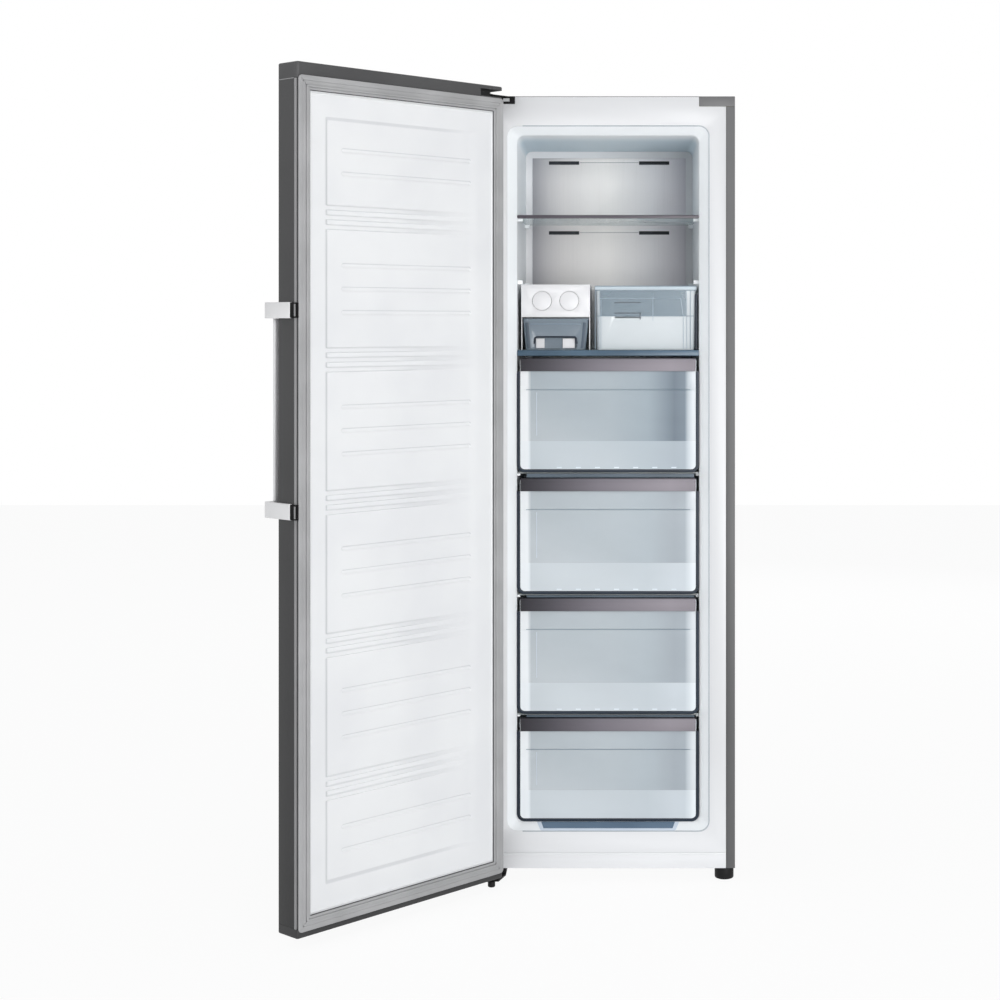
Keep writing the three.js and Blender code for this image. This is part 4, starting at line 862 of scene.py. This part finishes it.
def frontPanel(name, half, low, high, size):
    # plate with rounded lower corners, a pressed crease near its top and a frosted band below
    crease = high + size["topRoom"] - size["creaseDrop"]
    band = low + size["bandRise"]
    corner, room = size["corner"], size["rowRoom"]
    rows = [low + corner * (1 - math.cos(math.radians(a))) for a in range(0, 91, 10)]
    rows += [crease + d * size["creaseWidth"] / 2 for d in (-1, -0.3, 0.3, 1)]
    rows += [band - size["bandStep"], band, high, *np.linspace(low + corner + room, high - room, 8)]
    rows = sorted(set(round(v, 3) for v in rows))
    side = [0.915, 0.93, 0.97, 0.997, 1]  # as shares of the half width
    columns = [-u for u in reversed(side)] + list(np.linspace(-0.85, 0.85, 15)) + side
    wide, tall = len(columns), len(rows)
    points, frost, rise = [], [], []
    for back in (0, 1):
        for z in rows:
            below = max(0.0, low + corner - z)
            width = half - (corner - math.sqrt(max(corner ** 2 - below ** 2, 0)))
            for u in columns:
                x, y = u * width, size["frontY"] + back * size["panel"]
                if not back and abs(z - crease) < size["creaseWidth"] / 4 and abs(x) < size["creaseHalf"]:
                    y += size["creaseDepth"]
                if not back and abs(u) == 1:
                    y += size["edgeBack"]
                points.append((x, y, z))
                frost.append(1.0 if z < band else 0.0)
                rise.append((z - low) / (high - low))
    faces = []
    sheet = wide * tall
    for a in [r * wide + c for r in range(tall - 1) for c in range(wide - 1)]:
        faces.append((a, a + 1, a + 1 + wide, a + wide))
        faces.append((a + sheet, a + wide + sheet, a + 1 + wide + sheet, a + 1 + sheet))
    loop = [*range(wide), *(r * wide + wide - 1 for r in range(1, tall)),
            *((tall - 1) * wide + c for c in range(wide - 2, -1, -1)),
            *(r * wide for r in range(tall - 2, 0, -1))]
    faces += [(b, a, a + sheet, b + sheet) for a, b in zip(loop, loop[1:] + loop[:1])]
    plate = addMesh(name, points, faces)
    for key, values in (("frost", frost), ("rise", rise)):
        store = plate.data.attributes.new(key, "FLOAT", "POINT")
        store.data.foreach_set("value", values)
    return plate


def outlinePath(half, low, high, corner, steps=8):
    # down the left side, round the lower corners and up the right
    left = arc(corner - half, low + corner, corner, 180, steps)
    right = arc(half - corner, low + corner, corner, 270, steps)
    return [(-half, high), *left, *right, (half, high)]


def lineSweep(board, shape, size):
    path = board.add("GeometryNodeMeshToCurve", inputs={"Mesh": shape})
    path = board.add("GeometryNodeSetCurveNormal", {"mode": "FREE"}, {"Curve": path, "Normal": (0, 1, 0)})
    section = roundedRect(board, size["deep"], size["wide"], size["round"], 3)
    swept = board.add("GeometryNodeCurveToMesh",
                      inputs={"Curve": path, "Profile Curve": section, "Fill Caps": True})
    return closeTree(board, swept, "drawerEdge")


lineTree = growTree("lineSweep", {"wide": 3.0, "deep": 5.0, "round": 0.5}, lineSweep)


def traceLines(name, paths, sizes, finish, body, slot, replaces=()):
    # paths are runs of (x, y, z); sizes are the line's width seen from the front, its depth and edge radius
    points, links = [], []
    for path in paths:
        links += [len(points) + i + end for i in range(len(path) - 1) for end in (0, 1)]
        points += path
    piece = addMesh(name, points, [])
    piece.data.edges.add(len(links) // 2)
    piece.data.edges.foreach_set("vertices", links)
    runTree(piece, lineTree, dict(zip(("wide", "deep", "round"), sizes)))
    closePiece(piece, "sweep", body, finish, slot, replaces)


def bumpRow(board, shape, size):
    # low domes in a row across the tub's floor
    row = board.add("GeometryNodeMeshLine", {"mode": "OFFSET"}, {
        "Count": size["count"], "Start Location": board.join(size["startX"], size["y"], size["z"]),
        "Offset": board.join(size["pitch"])})
    dome = board.add("GeometryNodeMeshUVSphere", inputs={"Segments": 12, "Rings": 8, "Radius": 1.0})
    dome = board.add("GeometryNodeTransform", inputs={"Geometry": dome, "Scale": drawerSize["dome"]})
    many = board.add("GeometryNodeInstanceOnPoints", inputs={"Points": row, "Instance": dome})
    return closeTree(board, many, "clearDrawer")


bumpTree = growTree("floorBumps", {"count": 7, "startX": 0.0, "y": 0.0, "z": 0.0, "pitch": 45.0}, bumpRow)


def makeDrawer(index):
    size = drawerSize
    name = "drawer_%d" % (index + 1)
    tubLow, tubHigh = boxOf(name + "_tub")
    half, low, top = tubHigh.x, tubLow.z, boxOf(name + "_trim")[1].z
    front, back, high = size["frontY"], tubHigh.y, top - size["topRoom"]
    level = {"low": low, "rim": top - size["rimDrop"]}
    tub = vessel(name + "_shell", [
        (level[base] + rise, -half + aside, half - aside, front + size["tubBack"] + into, back - into, radius)
        for base, rise, aside, into, radius in tubProfile])
    plate = frontPanel(name + "_front", half - size["plateIn"], low + size["plateRise"], high, size)

    def frontLine(ending, runs, y, line, finish, replaces=()):
        paths = [[(x, y, z) for x, z in run] for run in runs]
        traceLines(name + ending, paths, line, finish, name, "clear_blue", replaces)

    face = front - size["proud"]
    crease, reach = top - size["creaseDrop"], size["creaseHalf"]
    outline = outlinePath(half - size["outlineIn"], low + size["outlineRise"], top - size["outlineDrop"],
                          size["corner"])
    seam = [(size["seamX"], z) for z in (crease - size["seamTop"], low + size["bandRise"] + size["seamLow"])]
    # the dark outline is a painted shadow in the gap round the drawer's front
    frontLine("_edge", [outline], front + size["outlineBack"], size["outline"], "drawerEdge", [name + "_tub"])
    frontLine("_crease", [[(-reach, crease), (reach, crease)]], face, size["creaseLine"], "creaseBlue")
    frontLine("_seam", [seam], face, size["seamLine"], "slopeBlue")

    bumps = addMesh(name + "_bumps", [(0, 0, 0)], [])
    startX = size["bumpMiddle"] - (size["bumpCount"] - 1) * size["bumpPitch"] / 2
    runTree(bumps, bumpTree, {"count": size["bumpCount"], "startX": startX, "y": size["bumpY"],
                              "z": low + size["wall"], "pitch": size["bumpPitch"]})
    # painted glints: white marks low on the front, over the floor bumps
    if index < size["glintDrawers"]:  # their glints low on the front
        spots = [startX + i * size["bumpPitch"] for i in range(size["bumpCount"])]
        glints = [[(x + d * size["glintHalf"], low + size["glintRise"]) for d in (-1, 1)] for x in spots]
        frontLine("_glints", glints, face, size["glintLine"], "whiteRim")

    closePiece(tub, "tub", name, "clearDrawer", "clear_blue", [name + "_tub"])
    closePiece(plate, "plate", name, "drawerFront", "clear_blue", [name + "_tub"])
    closePiece(bumps, "dome", name, "whiteRim", "clear_blue", [name + "_tub"])
    trim = mergedCopy(name + "_trim", name + "_rail")
    for point in trim.data.vertices:
        point.co.x = home.x + (point.co.x - home.x) * size["trimShare"]
    easeEdges(trim, size["trimEdge"] * mm)
    finishPiece(trim, name, "trimSteel", "brushed_steel", [name + "_trim"])


for index in range(4):
    makeDrawer(index)
print("drawers made")


# Details of the cavity
# a grey line along the outer edge of the mouth's flare, painted shade where the flare turns away
mouthBead = {"half": 236.8, "low": 116.6, "high": 1768.9, "corner": 24.0, "steps": 8, "start": -200,
             "line": (3.0, 0.8, 0.3)}
sill = {"low": 117.0, "rise": 17.3, "run": 25.0, "plate": 0.5}
# the recess under the lowest drawer is a dark plate on the slope, painted shadow, inside a pale rim
sillSlabs = {
    # name: height off the slope, finish, rows of (share of the slope, half width)
    "sillRim": (0.4, "slopeBlue", [(0.03, 152.4), (0.1, 158.4), (0.9, 167.4)]),
    "sillRecess": (0.8, "recessBlue", [(0.26, 151.4), (0.9, 157.4)]),
}
# strips under the front of each glass below a drawer, from their low edge up to the glass
shelfNose = {"left": -192, "right": 203, "front": 26.0, "back": 29.4, "edge": 0.5, "low": (943.0, 660.6, 378.4)}


def slopeSlab(name, lift, finish, rows):
    # a thin plate lying on the sill's slope
    lean = math.hypot(sill["rise"], sill["run"])
    points = []
    for up in (lift, lift - sill["plate"]):
        for share, half in rows:
            y = sill["run"] * share - up * sill["rise"] / lean
            z = sill["low"] + sill["rise"] * share + up * sill["run"] / lean
            points += [(-half, y, z), (half, y, z)]
    last = 2 * len(rows)
    faces = [(2 * i, 2 * i + 1, 2 * i + 3, 2 * i + 2) for i in range(len(rows) - 1)]
    faces += [tuple(last + i for i in reversed(face)) for face in faces]
    rim = [2 * i for i in range(len(rows))][::-1] + [2 * i + 1 for i in range(len(rows))]
    faces += [(rim[i], rim[i - 1], last + rim[i - 1], last + rim[i]) for i in range(len(rim))]
    slab = addMesh(name, points, faces)
    form = bmesh.new()
    form.from_mesh(slab.data)
    bmesh.ops.recalc_face_normals(form, faces=form.faces)
    form.to_mesh(slab.data)
    form.free()
    placePiece(slab)
    finishPiece(slab, "cabinet", finish, "white_plastic")


def makeMouthShadeLine():
    bead = mouthBead
    rounded, right = bead["corner"], bead["half"] - bead["corner"]
    run = [(bead["start"], bead["high"]), *arc(right, bead["high"] - rounded, rounded, 90, bead["steps"], -90),
           *arc(right, bead["low"] + rounded, rounded, 0, bead["steps"], -90), (bead["start"], bead["low"])]
    traceLines("mouthBead", [[(x, 0.0, z) for x, z in run]], bead["line"], "mouthGrey", "cabinet",
               "white_plastic")


makeMouthShadeLine()
for name, (lift, finish, rows) in sillSlabs.items():
    slopeSlab(name, lift, finish, rows)
for number, low in enumerate(shelfNose["low"], 1):
    top = boxOf("drawer_shelf_%d_glass" % number)[0].z
    nose = [tuple(shelfNose[side] for side in ("left", "right", "front", "back")) + (low, top)]
    boxPiece("shelfNose_%d" % number, nose, shelfNose["edge"], "cabinet", "noseGrey", "shelf_glass")

details = {
    # by body. A plate has boxes (x0, x1, y0, y1, z0, z1) and an edge radius; a set of lines has
    # (width, depth, edge radius), its y, and runs of (x, z). The slot is clear_blue where none is given.
    "cabinet": {
        # the air slots of the steel cover get a dark screen behind them, painted shade; a fine pressed line joins
        # each pair
        "slotScreens": {
            "finish": "slotBlack", "slot": "black_plastic", "edge": 0.1, "boxes": [
                (x - 41, x + 41, 438.6, 439.2, z - 5.5, z + 5.5) for x in (-116, 116) for z in (1719, 1539)]},
        "coverLines": {
            "finish": "steelLine", "slot": "brushed_steel", "line": (1.4, 0.6, 0.2), "y": 436.3,
            "runs": [[(-76, z), (76, z)] for z in (1719.8, 1539.6)]},
        "rearBeads": {
            "finish": "zincSheet", "slot": "zinc_steel", "line": (14.0, 2.8, 1.2), "y": 574.9,
            "runs": [[(x, 420), (x, 1760)] for x in (-180, -60, 60, 180)]},
    },
    "small_drawer": {
        "smallDrawerRim": {
            "finish": "rimBlue", "edge": 0.5, "boxes": [(-31.5, 208.5, 43.6, 45.4, 1386.2, 1393.2)]},
        "smallDrawerBand": {
            "finish": "clearBand", "edge": 0.05, "boxes": [(-19.5, 184.5, 44.7, 44.9, 1324.5, 1383)]},
        "smallDrawerLines": {
            "finish": "creaseBlue", "line": (1.8, 0.9, 0.3), "y": 44.8, "runs": [
                [(-31.5, 1394.2), (208.5, 1394.2)], [(-31.5, 1384), (208.5, 1384)],
                [(-30.5, 1393), (-30.5, 1246)], [(194.5, 1384), (194.5, 1246)],
                [(-27.5, 1323.6), (202.5, 1323.6)], [(111, 1365.3), (172, 1365.3)]]},
        "smallDrawerFineLines": {
            "finish": "slopeLine", "line": (1.1, 0.8, 0.3), "y": 44.8, "runs": [
                [(-21.5, 1365.3), (111, 1365.3)], [(106, 1368.6), (106, 1311.8)],
                [(-21.5, 1381), (-21.5, 1246)], [(-17, 1362), (-17, 1246)],
                [(172, 1365), (178, 1318), (178, 1246)], [(186, 1381), (186, 1246)]]},
        "smallDrawerGrips": {
            "finish": "gripGrey", "line": (2.6, 1.2, 0.4), "y": 44.8,
            "runs": [[(15, 1355.6), (77, 1355.6)], [(15, 1330.6), (77, 1330.6)], [(76, 1331.5), (76, 1315.5)]]},
        # a thin dark strip: painted shadow at the small drawer's right edge
        "smallDrawerSide": {
            "finish": "drawerEdge", "line": (5.6, 2.0, 0.6), "y": 45.2,
            "runs": [[(208.4, 1376), (208.4, 1246)]]},
    },
    "ice_bin": {
        # a dark arch: painted shade along the edge of the pull
        "pullArch": {
            "finish": "drawerEdge", "line": (4.2, 1.2, 0.5), "y": 47.6, "runs": [
                [(-174.6, 1258), (-173, 1271), (-169.5, 1274.2), (-79, 1274.2), (-75.5, 1271), (-74, 1258)]]},
        "pullPads": {
            "finish": "whitePlastic", "slot": "white_plastic", "edge": 0.7,
            "boxes": [(x0, x1, 57.5, 61.4, 1247.4, 1270.5) for x0, x1 in ((-171, -151), (-108, -79))]},
        # dark strips: painted shade on the bin's sides
        "binSides": {
            "finish": "recessDark", "line": (7.5, 1.0, 0.4), "y": 47.6,
            "runs": [[(-192.5, 1308), (-187.5, 1247)], [(-55.6, 1308), (-60.8, 1247)]]},
        "binTopLine": {
            "finish": "creaseBlue", "line": (2.4, 0.9, 0.3), "y": 47.6,
            "runs": [[(-184, 1304.5), (-64, 1304.5)]]},
    },
}
for body, pieces in details.items():
    for name, own in pieces.items():
        slot = own.get("slot", "clear_blue")
        if "boxes" in own:
            boxPiece(name, own["boxes"], own["edge"], body, own["finish"], slot)
        else:
            paths = [[(x, own["y"], z) for x, z in run] for run in own["runs"]]
            traceLines(name, paths, own["line"], own["finish"], body, slot)
print("cavity details made")


# Screws on the back, as (x, z): down the sides, along the top and round the machine bay's cover
screwSize = {"radius": 4.2, "rise": 1.6}
crossBar, screwY = (6.2, 2.0, 1.0), 575.0
screwSpots = [(x, z) for x in (-288, 288) for z in (390, 750, 1110, 1470, 1800)]
screwSpots += [(x, 1829) for x in (-190, 0, 190)]
screwSpots += [(x, z) for x in (-240, 240) for z in (66, 312)] + [(0, 318)]


def screwField(board, shape, size):
    # a domed head with a cross cut on each point of the shape, facing the back
    head = board.add("GeometryNodeMeshUVSphere", inputs={"Segments": 16, "Rings": 8, "Radius": size["radius"]})
    flat = board.join(1.0, size["rise"] / size["radius"], 1.0)
    head = board.add("GeometryNodeTransform", inputs={"Geometry": head, "Scale": flat})
    cube = board.add("GeometryNodeMeshCube", inputs={"Size": crossBar})
    bars = [board.add("GeometryNodeTransform", inputs={
        "Geometry": cube, "Rotation": (0, math.radians(turn), 0), "Translation": board.join(y=size["rise"])})
        for turn in (0, 90)]
    cross = board.add("GeometryNodeJoinGeometry", inputs={0: bars})
    head = board.add("GeometryNodeMeshBoolean", {"operation": "DIFFERENCE"}, {"Mesh 1": head, "Mesh 2": cross})
    many = board.add("GeometryNodeInstanceOnPoints", inputs={"Points": shape, "Instance": head})
    return closeTree(board, many, "zincSheet")


screws = addMesh("rearScrews", [(x, screwY, z) for x, z in screwSpots], [])
runTree(screws, growTree("screwField", screwSize, screwField), screwSize)
closePiece(screws, "screw", "cabinet", "zincSheet", "zinc_steel")
print("back made")


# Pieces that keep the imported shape, with their edges eased and a finish of their own

easedNodes = [
    # finish, record slot, edge radius in millimetres, nodes
    ("cabinetPaint", "cabinet_paint", 0.45, "outer_wrapper"),
    ("cabinetPaint", "dark_plastic", 0.8, "corner_cap"),
    ("zincSheet", "zinc_steel", 0.3, "rear_panel base_panel"),
    ("railWhite", "white_plastic", 0.5, "front_rail"),
    ("liner", "white_plastic", 0.7, "inner_liner"),
    ("coverSteel", "brushed_steel", 0.5, "evaporator_cover"),
    ("zincSheet", "zinc_steel", 0.5, "compressor_rail hinge_pin_upper"),
    ("blackPlastic", "black_plastic", 0.5, "drip_tray foot_hinge_side"),
    ("doorPaint", "door_paint", 0.4, "rear_cover"),
    ("blackPlastic", "black_plastic", 0.6, "cord_gland foot_right"),
    ("blackSteel", "black_metal", 0.7, "hinge_bracket_lower hinge_bracket_upper"),
    ("zincSheet", "zinc_steel", 0.4, "hinge_pin_lower"),
    ("shelfGlass", "shelf_glass", 0.6, "mid_shelf_glass drawer_shelf_1_glass drawer_shelf_2_glass"),
    ("shelfGlass", "shelf_glass", 0.6, "drawer_shelf_3_glass top_shelf_glass"),
    ("navyStrip", "navy_trim", 0.6, "mid_shelf_trim"),
    ("shelfRail", "shelf_glass", 0.5, "top_shelf_trim"),
    ("whitePlastic", "white_plastic", 0.8, "ice_maker_housing"),
    ("barSilver", "satin_silver", 0.6, "handle_bar"),
    ("satinSilver", "satin_silver", 1.2, "handle_bracket_lower handle_bracket_upper"),
    ("padBlack", "black_plastic", 0.9, "handle_pad_lower handle_pad_upper"),
    ("clearSmall", "clear_blue", 0.5, "small_drawer"),
    ("clearBin", "clear_blue", 0.5, "ice_bin"),
    ("whitePlastic", "white_plastic", 0.9, "ice_knob_left ice_knob_right"),
    ("blackPlastic", "black_plastic", 0.9, "roller_left roller_right"),
]
# a window between the upper hinge's arm and its plate's foot
hingeWindow = [(-246, -230, -6, 2, 1825.5, 1833.3)]
bodyOf = {node: body for body, nodes in frame["record"]["behaviour"]["bodies"].items() for node in nodes}


def camelName(node):
    first, *rest = node.split("_")
    return first + "".join(word.capitalize() for word in rest)


for finish, slot, radius, nodes in easedNodes:
    for node in nodes.split():
        piece = mergedCopy(node, camelName(node))
        if node == "hinge_bracket_upper":
            cutAway(piece, hingeWindow, cabinetPlace)
        easeEdges(piece, radius * mm)
        finishPiece(piece, bodyOf[node], finish, slot, [node])

# inside and mostly hidden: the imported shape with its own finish
plainNodes = {
    "foamBody": "insulation_foam", "whitePlastic": "evaporator_duct drain_pan fan_blade",
    "finAluminium": "evaporator_coil", "blackPlastic": "fan_motor", "blackSteel": "compressor",
    "copperTube": "filter_drier", "clearDrawer": "ice_tray_left ice_tray_right",
}
for finish, nodes in plainNodes.items():
    for node in nodes.split():
        packed = frame["nodes"][node]
        packed.data.materials.clear()
        packed.data.materials.append(finishes[finish])
print("packed shapes eased")


# Floor, light and camera

studio = {
    "floorHalf": 9.0, "floorGlow": 0.93, "paper": ((246, 246, 247), (250, 250, 250)), "paperScale": 40,
    "world": 0.46, "worldTone": (0.97, 0.985, 1, 1), "white": (1, 1, 1, 1),
}


def seenBy(board, *kinds):
    # 1 for the kinds of rays that see plain white
    path = board.add("ShaderNodeLightPath")
    first, *others = [path.out("Is %s Ray" % kind) for kind in kinds]
    for other in others:
        first = board.most(first, other)
    return first


def floorLook(board, point):
    paper = board.noise(point, studio["paperScale"], detail=2.0)
    tone = board.mix(paper, *(srgb(*tone) for tone in studio["paper"]))
    matt = board.add("ShaderNodeBsdfDiffuse", inputs={"Color": tone})
    glow = board.add("ShaderNodeEmission", inputs={"Color": studio["white"], "Strength": 1.0})
    seen = seenBy(board, "Camera", "Glossy", "Transmission") * studio["floorGlow"]
    return board.add("ShaderNodeMixShader", inputs={0: seen, 1: matt, 2: glow})


reach = studio["floorHalf"]
floor = addMesh("floor", [(-reach, -reach, 0), (reach, -reach, 0), (reach, reach, 0), (-reach, reach, 0)],
                [(0, 1, 2, 3)])
floor.data.materials.append(makeFinish("floorPaper", floorLook))

world = bpy.data.worlds.new("studio")
bpy.context.scene.world = world
world.use_nodes = True
world.node_tree.nodes.clear()
sky = Board(world.node_tree)
soft = sky.add("ShaderNodeBackground", inputs={"Color": studio["worldTone"], "Strength": studio["world"]})
white = sky.add("ShaderNodeBackground", inputs={"Color": studio["white"], "Strength": 1.0})
seen = seenBy(sky, "Camera", "Transmission", "Glossy")
shown = sky.add("ShaderNodeMixShader", inputs={0: seen, 1: soft, 2: white})
sky.add("ShaderNodeOutputWorld", inputs={"Surface": shown})

lamps = {
    "front": {"place": (2.3, -6.0, 1.2), "faces": (0.3, 0.2, 0.9), "size": 3.4, "watts": 248},
    "left": {"place": (-3.4, -3.4, 2.4), "faces": (0.1, 0.1, 0.9), "size": 2.4, "watts": 34},
    "rear": {"place": (1.5, 4.8, 2.6), "faces": (0.2, 0.2, 0.9), "size": 3.0, "watts": 50},
}


def addHolder(name, data, place):
    holder = addObject(name, data)
    holder.location = place
    return holder


for name, own in lamps.items():
    lamp = bpy.data.lights.new(name, "AREA")
    lamp.shape = "SQUARE"
    lamp.size, lamp.energy = own["size"], own["watts"]
    aim = Vector(own["faces"]) - Vector(own["place"])
    addHolder(name, lamp, own["place"]).rotation_euler = aim.to_track_quat("-Z", "Y").to_euler()

# measured from the photograph with a pinhole camera; the middle and the focal length are in its pixels
view = {"place": (28.1, -4390.0, 1308.0), "focal": 1874.0, "middleX": 620.0, "middleY": 322.6, "frame": 1000.0,
        "sensor": 36, "far": 100}
camera = addHolder("camera", bpy.data.cameras.new("camera"), cabinetPlace @ Vector(view["place"]))
camera.rotation_euler = (math.radians(90), 0, 0)
camera.data.sensor_width = view["sensor"]
camera.data.lens = view["sensor"] * view["focal"] / view["frame"]
camera.data.shift_x = (view["frame"] / 2 - view["middleX"]) / view["frame"]
camera.data.shift_y = (view["middleY"] - view["frame"] / 2) / view["frame"]
camera.data.clip_end = view["far"]
bpy.context.scene.camera = camera
bpy.context.scene.view_settings.view_transform = "Standard"
